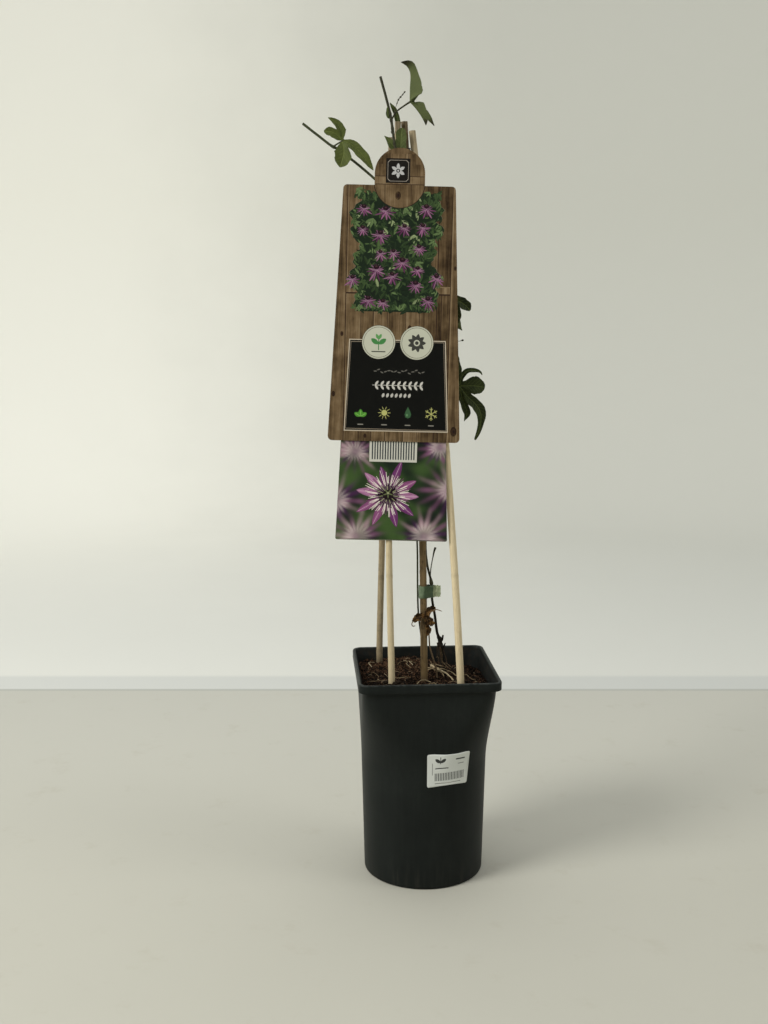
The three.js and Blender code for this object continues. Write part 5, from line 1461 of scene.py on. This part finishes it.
def onLabel(back):
    return lambda u, v, depth: labelTurned @ Vector((u, -back - depth, v))


# Inks are colours, and an ink with alpha 0 is a printed plank whose tone is in red
def printFinish(name, roughness=0.42):
    finish = Finish(name, roughness, Specular_IOR_Level=0.1)
    ink = finish.spread("ink", "Color")
    tone = finish.split(ink)[0]
    spot = finish.spread("sheet", "Vector")
    shift = finish.node("ShaderNodeCombineXYZ", inputs={"X": tone * 61, "Y": tone * 37, "Z": tone * 50})
    inputs = {"Vector": spot, "Location": shift, "Scale": (1, 0.045, 1)}
    plank = finish.node("ShaderNodeMapping", {"vector_type": "POINT"}, inputs)
    fine = finish.noise(plank, 1.1, 4, 0.65, 0.3)
    broad = finish.noise(plank, 0.22, 3, 0.5, 0.8)
    cloud = finish.noise(spot, 0.05, 3, 0.6)
    shade = tone * 0.62 + (fine - 0.5) * 0.44 + (broad - 0.5) * 0.6 + (cloud - 0.5) * 0.6 + 0.2
    wood = finish.ramp(shade, [(0.24, (0.02, 0.0115, 0.006)), (0.42, (0.073, 0.047, 0.023)),
                               (0.58, (0.138, 0.092, 0.048)), (0.8, (0.235, 0.172, 0.1))])
    finish.feed("Base Color", finish.mix(ink.other("Alpha"), wood, ink))
    finish.feed("Roughness", roughness - 0.04 + 0.08 * cloud)
    return finish


def cardFinish(name, pale, dark):
    finish = Finish(name, 0.85, Specular_IOR_Level=0.25)
    place = finish.place()
    fibre = finish.noise(place, 1.4, 4, 0.7, 1.5)
    cloud = finish.noise(place, 0.04, 3)
    fleck = finish.step(finish.noise(place, 2.6, 2, 0.5), 0.66, 0.72)
    color = finish.ramp(fibre * 0.6 + cloud * 0.4, [(0.35, dark), (0.62, pale)])
    finish.feed("Base Color", finish.mix(fleck * 0.5, color, tint(dark, 0.45)))
    finish.bump(fibre, 0.08, 0.4)
    return finish


greens = [(0.008, 0.013, 0.008), (0.011, 0.02, 0.01), (0.018, 0.032, 0.013), (0.03, 0.052, 0.02),
          (0.046, 0.076, 0.028), (0.075, 0.115, 0.046), (0.16, 0.2, 0.1)]


def leafPrint(page, dice, x, y, size, aim, color):
    lobes = 3 if dice.random() < 0.4 else 1
    for index in range(lobes):
        spread = (index - (lobes - 1) / 2) * 0.75
        length = size * (1 - 0.2 * abs(spread)) * dice.uniform(0.9, 1.1)
        ring = petal(length, length * dice.uniform(0.22, 0.42))
        page.put(ring, tint(color, dice.uniform(0.85, 1.15)), x, y, aim + spread)
        half = [(u, v * 0.92) for u, v in petal(length * 0.94, length * 0.36) if v >= 0]
        page.put(half, tint(color, dice.uniform(1.15, 1.4)), x, y, aim + spread)
        page.put(bar(length * 0.86, 0.34, 0.12), tint(color, 1.9), x, y, aim + spread)


def blossomPrint(page, dice, x, y, size, squash):
    first, count = dice.uniform(0, 6.28), 7
    petals = [(0.07, 0.02, 0.055), (0.125, 0.04, 0.098), (0.21, 0.085, 0.165)]
    drop = y - 0.16 * size
    for layer, grow in ((0, 1.05), (0.5, 0.9)):
        for index in range(count):
            aim = first + (index + layer) * 2 * pi / count + dice.uniform(-0.14, 0.14)
            length = size * grow * dice.uniform(0.75, 1.1) * (1 - 0.22 * sin(aim))
            ink = petals[dice.randrange(3)]
            rib = (0.38, 0.25, 0.33) if index % 2 else tint(ink, 1.8)
            page.put(petal(length, length * 0.17), ink, x, drop, aim, squash)
            page.put(bar(length * 0.92, 0.36, 0.12), rib, x, drop, aim, squash)
    for index, aim in enumerate(turns(26, first)):
        ink = (0.36, 0.23, 0.31) if index % 2 else (0.05, 0.012, 0.035)
        page.put(bar(size * dice.uniform(0.42, 0.6), 0.24, 0.12), ink, x, y, aim, squash)
    page.add(oval(x, y + 0.2 * size, 0.3 * size, 0.24 * size, 14), (0.02, 0.006, 0.013))
    page.add(oval(x, y + 0.27 * size, 0.12 * size, 0.08 * size, 8), (0.055, 0.03, 0.03))


def plankInk(tone):
    return (tone, 0, 0, 0)


def plankPrint(page, left, low, right, high, tone, seam=0.55):
    page.add(box(left, low, right, high), plankInk(tone))
    page.add(box(left, low, left + seam, high), (0.028, 0.015, 0.01))
    page.add(box(left + seam, low, left + seam + 0.7, high), plankInk(min(tone + 0.22, 1)))


def knotPrint(page, x, y, size):
    page.add(oval(x, y, 1.5 * size, 2.3 * size, 20), plankInk(0.16))
    page.add(oval(x, y, size, 1.4 * size, 18), (0.035, 0.018, 0.011))
    page.add(oval(x + 0.1 * size, y, 0.5 * size, 0.8 * size, 14), (0.016, 0.009, 0.007))


def boardWood(page):
    low, high = label["boardLow"] - 1, label["boardHigh"] + 1
    seams = [-47.6, -33.4, -21.6, -8.6, 8.4, 21, 36.8]
    tones = [0.55, 0.42, 0.62, 0.5, 0.66, 0.46]
    for left, right, tone in zip(seams, seams[1:], tones):
        plankPrint(page, left, low, right, high, tone)
    # the deep panel on the right, and the cross beam with its shadow
    plankPrint(page, 36.8, 235, 49.4, high, 0.26, 0.9)
    plankPrint(page, 36.8, low, 41.4, 227.5, 0.2, 0.9)
    plankPrint(page, 41.4, low, 49.4, 227.5, 0.32)
    page.add(box(-47.6, 228.3, 49.4, 234.6), plankInk(0.68))
    page.add(box(-47.6, 227, 49.4, 228.3), (0.03, 0.017, 0.011))
    page.add(box(-47.6, 234.2, 49.4, 234.8), plankInk(0.85))
    for left, right, seam in ((-70, -47.6, -47.9), (49.4, 70, 49.1)):
        page.add(box(left, low, right, high), plankInk(0.52))
        page.add(box(seam, low, seam + 0.7, high), (0.03, 0.016, 0.01))
    page.add(box(49.8, low, 51, high), plankInk(0.8))
    for x, y, size in ((-50.6, 190, 1), (-57.4, 134, 1.1), (12.4, 196, 1.3), (56, 101, 2), (-19, 214, 1.1),
                       (53.4, 252, 0.9), (-27, 95.5, 0.9), (31, 218, 0.8)):
        knotPrint(page, x, y, size)


# The edge of the board's picture: side is -1 on the left and 1 on the right
def foliageEdge(v, side):
    sway = 3.4 * sin(v * 0.13 + 2 * side) + 2.6 * sin(v * 0.31 + side) + 1.4 * sin(v * 0.83)
    return (-40.5 if side < 0 else 35.5) + sway + (5 if side > 0 and v > 296 else 0)


def boardFoliage(page, dice):
    def spotIn(low, high, left=2, right=2):
        v = dice.uniform(low, high)
        return dice.uniform(foliageEdge(v, -1) + left, foliageEdge(v, 1) - right), v

    def edgeLeaf(u, v, size, aim):
        leafPrint(page, dice, u, v, size, aim, greens[dice.randrange(1, 6)])

    steps = [211 + 108 * step / 60 for step in range(61)]
    pale = [(foliageEdge(v, -1) - 0.5, v) for v in reversed(steps)]
    pale += [(foliageEdge(v, 1) + 0.5, v) for v in steps]
    page.add(pale, (0.13, 0.115, 0.075))
    page.add([(x + (0.5 if x < 0 else -0.5), y) for x, y in pale], (0.01, 0.019, 0.01))
    for index in range(420):
        u, v = spotIn(212, 322)
        shade = min(int(dice.betavariate(1.25, 2.7) * 7 + index / 300 * 0.9), 6)
        size = dice.uniform(4, 10)
        aim = dice.gauss(-1.57, 1.3)
        reached, height = polar(u, v, size, aim)
        if foliageEdge(v, -1) - 1 < reached < foliageEdge(v, 1) + 1 and 207 < height < 323.5:
            leafPrint(page, dice, u, v, size, aim, greens[shade])
    for _ in range(150):
        u, v = spotIn(213, 320)
        size = dice.uniform(4, 9)
        aim = dice.gauss(-1.57, 0.9)
        reached, height = polar(u, v, size, aim)
        if foliageEdge(v, -1) < reached < foliageEdge(v, 1) and height > 209:
            page.put(petal(size, dice.uniform(0.7, 1.3)), greens[dice.randrange(0, 5)], u, v, aim)
    # leaves that close the picture's edges, aimed inwards
    for step in range(58):
        v = 214 + 1.9 * step
        for side in (-1, 1):
            aim = -pi / 2 - side * dice.uniform(0.3, 1.5)
            edgeLeaf(foliageEdge(v, side) + dice.uniform(-1.5, 0.6) * side, v, dice.uniform(3.5, 7.5), aim)
    for step in range(34):
        u = -39 + 2.3 * step
        edgeLeaf(u, 320 + dice.uniform(-2, 1), dice.uniform(4, 8), dice.uniform(-2.4, -0.7))
        edgeLeaf(u, 212 + dice.uniform(0, 2), dice.uniform(3.5, 6.5), dice.uniform(0.9, 2.3))
    spots = []
    for _ in range(900):
        u, v = spotIn(216, 318, 3, 4)
        if all(hypot(u - a, v - b) > dice.uniform(11, 19) for a, b in spots) and hypot(u, v - 330) > 29:
            spots.append((u, v))
    for u, v in spots[:20]:
        blossomPrint(page, dice, u, v, dice.uniform(6.4, 9.8), dice.uniform(0.7, 1))


def sprigPrint(page, x, y, half, size, ink, leaves):
    page.put(bar(2 * half, 0.5), ink, x - half, y)
    for index in range(leaves):
        u = x - half + (index + 0.5) * 2 * half / leaves
        for side in (-1, 1):
            page.put(petal(size, 0.44 * size), ink, u, y, side * 0.95)


# Four plain pictograms for a plant's care: leaves, sun, water and frost
def iconPrints(page):
    green, pale, dark = (0.075, 0.25, 0.035), (0.42, 0.42, 0.15), (0.04, 0.1, 0.045)
    leafX, sunX, dropX, frostX = -31.6, -9.3, 12.8, 34.7
    for aim in (0.5, 1.57, 2.64):
        page.put(petal(6.6, 4.2), green, leafX, 113.6, aim)
        page.put(bar(5.2, 0.4), (0.25, 0.5, 0.12), leafX, 113.6, aim)
    for aim in turns(10):
        page.put(bar(2.6, 0.7, 0.3), pale, *polar(sunX, 117.3, 3.4, aim), aim)
    page.add(oval(sunX, 117.3, 2.7), pale)
    page.add([(12.8, 123.4), (10.6, 119), (9.7, 116.2), (10.5, 113.6), (12.8, 112.4), (15.1, 113.6),
              (15.9, 116.2), (15, 119)], dark)
    page.add(oval(12, 115.6, 0.8, 1.3, 12), (0.11, 0.24, 0.11))
    for aim in turns(6, pi / 6):
        page.put(bar(6.2, 0.7), pale, frostX, 117, aim)
        for turn in (-0.9, 0.9):
            page.put(bar(2, 0.5), pale, *polar(frostX, 117, 3.6, aim), aim + turn)
    for x in (leafX, sunX, dropX, frostX):
        page.add(box(x - 2.6, 105.6, x + 2.6, 106.5), (0.25, 0.24, 0.21))


def boardPanel(page):
    cream, rim, black = (0.46, 0.4, 0.31), (0.24, 0.2, 0.15), (0.0045, 0.0048, 0.0042)
    page.add([(-47.1, 99.7), (50.8, 100), (46.5, 185.3), (-43.6, 185.4)], cream)
    page.add([(-46.2, 100.7), (49.8, 101), (45.6, 184.4), (-42.7, 184.5)], black)
    page.add([(-45.6, 101.9), (49.2, 101.4), (44.7, 183.8), (-42, 183.2)], rim)
    page.add([(-45.2, 102.4), (48.8, 101.9), (44.3, 183.3), (-41.6, 182.7)], black)
    leftX, rightX, discY = -16.1, 19.5, 182.8
    for x in (leftX, rightX):
        for radius, ink in ((15.7, (0.03, 0.022, 0.016)), (15.4, (0.46, 0.47, 0.38)), (14.2, (0.1, 0.09, 0.07)),
                            (13.8, (0.47, 0.48, 0.39))):
            page.add(oval(x, discY, radius, count=56), ink)
    # a seedling on the left disc and a plain flower on the right one
    page.put(bar(11, 0.8), (0.045, 0.16, 0.05), leftX, 175.4, 1.57)
    for side in (-1, 1):
        page.put(petal(8.6, 4.6), (0.055, 0.2, 0.06), leftX, 181, 1.57 + side * 0.95)
        page.put(petal(5.6, 2.8), (0.1, 0.28, 0.09), leftX, 185.4, 1.57 + side * 0.45)
    page.add(box(-22.6, 173.6, -9.6, 174.6), (0.05, 0.05, 0.045))
    for aim in turns(9):
        page.put(petal(8.6, 3.9, 0.64), (0.045, 0.045, 0.04), rightX, discY, aim)
    page.add(oval(rightX, discY, 2.9), (0.47, 0.48, 0.39))
    page.add(oval(rightX, discY, 1.7), (0.045, 0.045, 0.04))
    # a garland in three rows
    white = (0.52, 0.51, 0.47)
    sprigPrint(page, 2.4, 143, 23.5, 5, white, 9)
    for index in range(15):
        page.put(petal(3.4, 1.1), (0.13, 0.125, 0.11), -20.4 + index * 3.2, 156 + 0.9 * sin(index * 1.7),
                 0.5 * sin(index * 2.3))
    for index in range(7):
        page.put(petal(4.4, 2.6), tint(white, 0.85), -11.6 + index * 4.1, 131.6, 1.2)
    iconPrints(page)


def boardTab(page):
    radius = label["tabRadius"]
    halfTurn = [pi * step / 30 for step in range(31)]
    ring = [polar(0, 329.2, -radius, angle) for angle in halfTurn]
    ring += [polar(0, 336.8, radius, angle) for angle in halfTurn]
    page.add([(1.03 * x, 333 + 1.02 * (y - 333)) for x, y in ring], (0.022, 0.014, 0.01))
    page.add(ring, plankInk(0.5))
    for outer, low, high in ((20.4, 334.6, 345.2), (14.2, 345.2, 354.6)):
        for left, right, tone in ((-outer, -9.6, 0.44), (-9.6, 7.4, 0.6), (7.4, outer, 0.46)):
            page.add(box(left, low, right, high), plankInk(tone))
    for x in (-9.6, 7.4):
        page.add(box(x, 334.6, x + 0.5, 355.4), (0.035, 0.02, 0.013))
    page.add(box(-22.6, 327.4, 22.6, 334.2), plankInk(0.7))
    page.add(box(-22.6, 334, 22.6, 334.6), (0.03, 0.017, 0.012))
    page.add(box(-22.6, 326.8, 22.6, 327.4), (0.026, 0.015, 0.01))
    for x, low in ((-13.6, 311.2), (10.4, 310)):
        page.add(box(x, low, x + 0.45, 326.8), (0.034, 0.02, 0.013))
    knotPrint(page, -1.2, 317, 1.7)
    # a dark badge with a plain flower in a chamfered frame
    black, grey = (0.01, 0.0085, 0.0075), (0.42, 0.42, 0.42)
    page.add(box(-12.9, 328.3, 9.4, 350.5), black)
    for inset, ink in ((1.5, (0.3, 0.27, 0.23)), (1.9, black)):
        left, low, right, high, c = -12.9 + inset, 328.3 + inset, 9.4 - inset, 350.5 - inset, 2
        page.add([(left + c, low), (right - c, low), (right, low + c), (right, high - c),
                  (right - c, high), (left + c, high), (left, high - c), (left, low + c)], ink)
    for aim in turns(6, pi / 6):
        page.put(petal(6.8, 3.1, 0.62), grey, -1.75, 339.4, aim)
    page.add(oval(-1.75, 339.4, 1.8), (0.02, 0.02, 0.02))
    page.add(oval(-1.75, 339.4, 0.9), grey)


def boardOutline():
    low, high, tab = label["boardLow"], label["boardHigh"], label["tabRadius"]
    corners = rounded([(-label["boardHalfHigh"], high, 4), (-label["boardHalfLow"], low, 5),
                       (label["boardHalfLow"], low, 5), (label["boardHalfHigh"], high, 4)], 8)
    middle = label["tabHigh"] - tab
    arc = [polar(0, middle, tab, pi * step / 48) for step in range(49)]
    return corners + [(tab, high)] + arc + [(-tab, high)]


def buildBoard():
    page = Print(boardOutline(), plankInk(0.5))
    boardWood(page)
    boardFoliage(page, random.Random(41))
    boardPanel(page)
    boardTab(page)
    finishes = [printFinish("board_print"), cardFinish("board_card", (0.46, 0.41, 0.33), (0.34, 0.29, 0.22))]
    piece = sheetPiece("board_sheet", page, onLabel(label["boardBack"]), label["boardThickness"], finishes)
    standFor(piece, "board_print", "label_board")
    print("board print:", len(page.rings), "shapes,", len(piece.data.polygons), "faces")


buildBoard()


def bigBlossom(page, dice, x, y, size, squash, count):
    outer, inner = [(0.19, 0.062, 0.15), (0.115, 0.03, 0.11), (0.29, 0.135, 0.24)], (0.46, 0.32, 0.4)
    first = dice.uniform(0, 1)

    def ray(ring, ink, aim):
        page.put(ring, ink, x, y, aim, squash)

    for layer in (0, 1):
        for index in range(5):
            aim = first + (index + 0.5 * layer) * 2 * pi / 5 + dice.uniform(-0.09, 0.09)
            length = size * dice.uniform(0.86, 1.08)
            ink = outer[(index + layer) % 3]
            wide = size * dice.uniform(0.22, 0.27)
            ray(petal(length, wide, 0.6), ink, aim)
            ray(petal(0.97 * length, 0.6 * wide, 0.66), tint(ink, 1.4), aim)
            ray(bar(0.95 * length, 0.022 * size, 0.01 * size), inner, aim)
            for side in (-0.07, 0.07):
                ray(bar(0.8 * length, 0.012 * size, 0.008 * size), tint(ink, 0.6), aim + side)
    wide = 0.025 * size
    for index, aim in enumerate(turns(count, first)):
        aim += dice.uniform(-0.03, 0.03)
        length = size * dice.uniform(0.46, 0.68) * (1.12 if sin(aim) > 0.2 else 1)
        ray(bar(length, wide, 0.5 * wide), (0.74, 0.7, 0.62) if index % 5 > 1 else (0.15, 0.04, 0.12), aim)
    page.add(oval(x, y, 0.27 * size, 0.25 * size, 24), (0.026, 0.008, 0.022))
    for index, aim in enumerate(turns(count, first + pi / count)):
        ray(bar(size * dice.uniform(0.26, 0.42), 0.016 * size),
            (0.014, 0.005, 0.012) if index % 3 else (0.22, 0.15, 0.19), aim)
    for index, aim in enumerate(turns(34, first)):
        ink = (0.01, 0.005, 0.008) if index % 3 else (0.26, 0.29, 0.14)
        page.put(bar(size * dice.uniform(0.08, 0.2), 0.018 * size), ink, *polar(x, y, 0.12 * size, aim),
                 aim, squash)
    page.add(oval(x, y, 0.15 * size, 0.145 * size, 20), (0.012, 0.006, 0.009))
    for aim in turns(5, first + 0.4):
        page.put(petal(0.15 * size, 0.04 * size), (0.11, 0.13, 0.06), x, y + 0.04 * size, aim, squash)
    page.add(oval(x, y + 0.05 * size, 0.035 * size), (0.27, 0.28, 0.15))


# Blurred flowers and leaves behind the sharp one: long soft streaks, with a colour for each corner
def pictureGround(dice):
    streaks = []

    def streak(x, y, aim, length, wide, color):
        streaks.append((x, y, cos(aim), sin(aim), length, wide, color))

    for _ in range(70):
        color = (0.048, 0.09, 0.026) if dice.random() < 0.42 else (0.008, 0.012, 0.01)
        streak(dice.uniform(-56, 56), dice.uniform(-8, 96), dice.uniform(0, 3.14), dice.uniform(6, 11),
               dice.uniform(3, 6), color)
    petals = ((0.4, (0.4, 0.26, 0.31)), (0.75, (0.22, 0.085, 0.18)), (1, (0.07, 0.016, 0.08)))
    blurred = ((-36, 80, 18), (-54, 34, 22), (-33, 0, 23), (31, 2, 21), (55, 46, 23), (44, 86, 18), (4, 92, 13))
    for x, y, size in blurred:
        first = dice.uniform(0, 6.28)
        for aim in turns(15, first):
            pale = dice.random()
            streak(x + 0.58 * size * cos(aim), y + 0.5 * size * sin(aim), aim, 0.42 * size,
                   0.085 * size, next(color for most, color in petals if pale < most))
        for aim in turns(18, first):
            streak(x + 0.36 * size * cos(aim), y + 0.31 * size * sin(aim), aim, 0.2 * size,
                   0.045 * size, (0.7, 0.62, 0.58))
        streak(x, y, 0, 0.2 * size, 0.18 * size, (0.05, 0.015, 0.05))

    def colorAt(u, v):
        total, summed = 0.12, tint((0.018, 0.036, 0.014), 0.12)
        for x, y, c, s, length, wide, color in streaks:
            du, dv = u - x, v - y
            far = ((du * c + dv * s) / length) ** 2 + ((dv * c - du * s) / wide) ** 2
            if far < 9:
                weight = exp(-far)
                total += weight
                summed = [part + weight * value for part, value in zip(summed, color)]
        return [part / total for part in summed]

    return colorAt


def buildPictureCard():
    dice = random.Random(57)
    low, high = label["cardLow"], label["cardHigh"]
    outline = rounded([(-label["cardHalfHigh"], high, 4), (-label["cardHalfLow"], low, 2),
                       (label["cardHalfLow"], low, 2), (label["cardHalfHigh"], high, 4)])
    page = Print(outline, (0.45, 0.43, 0.38))
    page.add(box(-60, low - 2, 60, 97), pictureGround(dice))
    bigBlossom(page, dice, -4, 40, 33.5, 0.97, 110)
    page.add(box(-22.4, 71.2, 22.4, 97), (0.52, 0.52, 0.46))
    for index in range(17):
        x = -20.2 + index * 2.45
        page.add(box(x, 73.4, x + 1.2, 97), (0.03, 0.035, 0.04))
    finishes = [printFinish("picture_print", 0.38),
                cardFinish("picture_card", (0.52, 0.5, 0.45), (0.4, 0.37, 0.32))]
    # the cells are small, so that the blurred ground keeps its soft shading
    piece = sheetPiece("picture_sheet", page, onLabel(0), label["cardThickness"], finishes, 1.3)
    standFor(piece, "picture_print", "picture_card")
    print("picture print:", len(page.rings), "shapes,", len(piece.data.polygons), "faces")


buildPictureCard()


# The strap that holds the label on the canes, bent from one strip of card: its corners, and their radii
strap = {
    "corners": [(-38, 0.3), (-24, 0.3), (-12, 27), (20, 27), (34, 0.3), (40.5, 0.3),
                (40.5, 0.9), (34.4, 0.9), (20.4, 27.6), (-12.4, 27.6), (-24.4, 0.9), (-38, 0.9)],
    "radii": [0.1, 3, 3, 3, 3, 0.1, 0.1, 3.4, 3.6, 3.6, 3.4, 0.1],
    "heights": [308, 309.5, 312.5, 315.5, 317],
}


def buildStrap():
    ring = rounded([(x, y, radius) for (x, y), radius in zip(strap["corners"], strap["radii"])], 6)
    flat, triangles = cutSheet(ring, [], 0)
    shape = Shape()
    for height, turned in ((strap["heights"][0], -1), (strap["heights"][-1], 1)):
        shape.add([labelTurned @ Vector((x, y, height)) for x, y in flat],
                  [face[::turned] for face, _ in triangles])
    loops = [[labelTurned @ Vector((x, y, height)) for x, y in ring] for height in strap["heights"]]
    shape.add(*skin(loops, False, False))
    finish = cardFinish("strap_card", (0.5, 0.47, 0.4), (0.38, 0.34, 0.28))
    standFor(shape.piece("label_strap_card", [finish], 40), "plain_card", "label_strap")


buildStrap()
print("label made")


# The sticker follows the pot's wall
sticker = {
    "from": -92.7, "to": -54.3,         # its turn round the pot, in degrees
    "radius": 62,
    "low": 106.2, "high": 139.4, "thickness": 0.5, "lift": 0.45,
}


def buildSticker():
    wide = sticker["radius"] * radians(sticker["to"] - sticker["from"])
    high = sticker["high"] - sticker["low"]

    def onPot(u, v, depth):
        angle = radians(mixed(sticker["from"], sticker["to"], u / wide))
        height = sticker["low"] + v
        radius = reach(*wallAt(height), angle) + sticker["lift"] + depth
        return Vector((*polar(0, 0, radius, angle), height))

    page = Print(rounded([(0, high, 2.2), (0, 0, 2.2), (wide, 0, 2.2), (wide, high, 2.2)]), (0.6, 0.625, 0.6))
    grey, pale = (0.045, 0.048, 0.046), (0.19, 0.2, 0.19)
    for index in range(19):
        x = 7.2 + index * 1.62
        page.add(box(x, 6.4, x + 0.8, 14.2), grey)
    page.add(box(4.6, 12.4, 5.2, 24.4), pale)
    page.add(box(7.6, 18.4, 20.4, 19.4), grey)
    page.add(box(7.4, 3.4, 33.6, 4.2), pale)
    for side in (-1, 1):
        page.put(petal(6.4, 3.4), grey, 12.6, 24.6, 1.57 + side * 0.9)
    page.put(bar(7, 0.7), grey, 12.6, 23.4, 1.57)
    page.add(box(27.2, 26.6, 36.6, 27.9), grey)
    page.add(box(29.8, 21.8, 36.2, 22.6), pale)
    finishes = [printFinish("sticker_print", 0.4),
                cardFinish("sticker_paper", (0.55, 0.55, 0.51), (0.45, 0.45, 0.41))]
    piece = sheetPiece("pot_sticker_sheet", page, onPot, sticker["thickness"], finishes, 1.4)
    standFor(piece, "sticker", "pot_sticker")


buildSticker()
print("sticker made")


# Evenly spaced points, each with its outward normal, round a hull of circles
def roundCircles(circles, count):
    rims = [p for x, y, radius in circles for p in oval(x, y, radius, count=72)]
    ring = [rims[index] for index in geometry.convex_hull_2d(rims)]
    first = ring.index(min(ring))
    ring = ring[first:] + ring[:first]
    run = [0]
    for a, b in zip(ring, ring[1:] + ring[:1]):
        run.append(run[-1] + dist(a, b))
    spots = []
    for step in range(count):
        goal = run[-1] * step / count
        index = bisect.bisect_right(run, goal) - 1
        a, b = Vector(ring[index]), Vector(ring[(index + 1) % len(ring)])
        spots.append(a.lerp(b, (goal - run[index]) / (run[index + 1] - run[index])))
    normals = []
    for index in range(count):
        side = spots[(index + 1) % count] - spots[index - 1]
        normals.append(Vector((side.y, -side.x)).normalized())
    return list(zip(spots, normals))


# A band with rounded edges round a hull of circles: rough moves its edges and its faces
def addBand(shape, circles, inner, thickness, low, high, rough, crinkle):
    loops = []
    for spot, normal in roundCircles(circles, 150):
        wave = Vector((spot.x, spot.y, 0)) * 0.9
        top = high + rough * noise.noise(wave * 1.7)
        bottom = low - rough * noise.noise(wave * 1.7 + Vector((7, 3, 1)))
        loop = []
        for depth, share in ((0, 0.04), (0, 0.35), (0, 0.65), (0, 0.96), (0.25, 1), (0.75, 1), (1, 0.96),
                             (1, 0.65), (1, 0.35), (1, 0.04), (0.75, 0), (0.25, 0)):
            height = mixed(bottom, top, share)
            bend = crinkle * noise.noise(Vector((spot.x, spot.y, height)) * 0.8) * (1 if depth > 0.5 else 0.3)
            place = spot + normal * (inner + thickness * depth + bend)
            loop.append((place.x, place.y, height))
        loops.append(loop)
    points, faces = skin(loops + [loops[0]], False, False)
    shape.add(points, faces)


def caneAt(name, height):
    line = Path(canes[name]["axis"], 30).line
    a, b = next((a, b) for a, b in zip(line, line[1:]) if b.z >= height)
    return a.lerp(b, (height - a.z) / (b.z - a.z))


caneTie = {
    "height": 692.5, "low": 689, "high": 696, "tail": (-16.8, -7.3), "tailHalf": 0.8,
    "tailRings": ((689, 0.7), (689.2, 1), (693, 0.95), (697, 1), (701, 0.92), (704.7, 1), (705, 0.7)),
}
tape = {
    "height": 287, "low": 281, "high": 293, "stem": (6.1, -10.2, 1.5), "caneRadius": 3.6,
    "flagMiddle": (11.3, -11), "flagTurn": -12, "flagWidth": 7, "columns": 26, "rows": 34,
}


def buildCaneTie():
    circles = [(at.x, at.y, 3) for at in (caneAt(name, caneTie["height"]) for name in canes)]
    shape = Shape()
    addBand(shape, circles, 0.8, 0.9, caneTie["low"], caneTie["high"], 0.25, 0.12)
    loops = []
    for height, grow in caneTie["tailRings"]:
        turn = (height - caneTie["low"]) * 0.05
        half = caneTie["tailHalf"] * grow
        loops.append([(*polar(*caneTie["tail"], reach(half, 0.3, angle), angle + turn), height)
                      for angle in turns(20)])
    shape.add(*skin(loops))
    finish = Finish("black_tie", 0.42)
    place = finish.place()
    cloud = finish.noise(place, 0.5, 3)
    finish.feed("Base Color", finish.ramp(cloud, [(0.35, (0.005, 0.005, 0.005)), (0.7, (0.018, 0.017, 0.016))]))
    finish.feed("Roughness", 0.35 + cloud * 0.25)
    finish.bump(finish.noise(finish.place((0.3, 0.3, 1)), 1.5, 2), 0.15, 0.5)
    standFor(shape.piece("cane_tie_band", [finish], 45), "black_tie", "cane_tie")


def buildTape():
    low, high = tape["low"], tape["high"]
    shape = Shape()
    cane = caneAt("cane_centre", tape["height"])
    addBand(shape, [(cane.x, cane.y, tape["caneRadius"]), tape["stem"]], 0.35, 0.7, low, high, 0.9, 0.35)
    # the flag that stands off to the right
    points, faces = [], []
    columns, rows, wide = tape["columns"], tape["rows"], tape["flagWidth"]
    x, y = tape["flagMiddle"]
    aim = radians(tape["flagTurn"])
    for depth in (0.35, -0.35):
        for row in range(rows + 1):
            for column in range(columns + 1):
                share, up = column / columns, row / rows
                u = -wide / 2 + wide * share * (1 + 0.09 * noise.noise(Vector((0, up * 5, 2))) * share)
                edge = 0.9 * noise.noise(Vector((u * 0.9, up, 4))) - 0.5 * share
                v = low + (high - low) * up + edge * (2 * up - 1)
                bend = depth + 0.5 * noise.noise(Vector((u, v, 5)) * 0.5)
                bend += 0.25 * noise.noise(Vector((u, v, 8)) * 1.3)
                points.append((x + u * cos(aim) + bend * sin(aim),
                               y + u * sin(aim) - bend * cos(aim), v))
    for row in range(rows):
        for column in range(columns):
            a = row * (columns + 1) + column
            faces.append((a, a + 1, a + columns + 2, a + columns + 1))
    shape.add(points, backed(faces, (rows + 1) * (columns + 1)))
    finish = Finish("green_tape", 0.38, Specular_IOR_Level=0.45)
    place = finish.place()
    cloud = finish.noise(place, 0.16, 3, 0.6)
    crease = finish.noise(finish.place((1, 1, 0.3)), 1.2, 3, 0.6, 0.6)
    x, y, z = finish.split(place)
    # painted light and shade: the band is dark in the middle, where it goes round in shade, lighter on its left
    # and lighter still on the flag
    flag = finish.step(x + (cloud - 0.5) * 4, 6.6, 8.6)
    left = 1 - finish.step(x + (cloud - 0.5) * 5, -3.6, -0.6)
    wearAndHighlight = cloud * 0.5 + crease * 0.5
    color = finish.ramp(wearAndHighlight, [(0.36, (0.02, 0.044, 0.02)), (0.64, (0.052, 0.092, 0.042))])
    color = finish.mix(left, color, finish.ramp(wearAndHighlight, [(0.36, (0.09, 0.14, 0.08)), (0.64, (0.17, 0.23, 0.14))]))
    color = finish.mix(flag, color, finish.ramp(wearAndHighlight, [(0.36, (0.17, 0.22, 0.12)), (0.64, (0.38, 0.42, 0.27))]))
    finish.feed("Base Color", color)
    finish.bump(crease + cloud, 0.3, 0.7)
    standFor(shape.piece("tape_band", [finish], 45), "green_tape", "tape_tie")


buildCaneTie()
buildTape()
print("ties made")
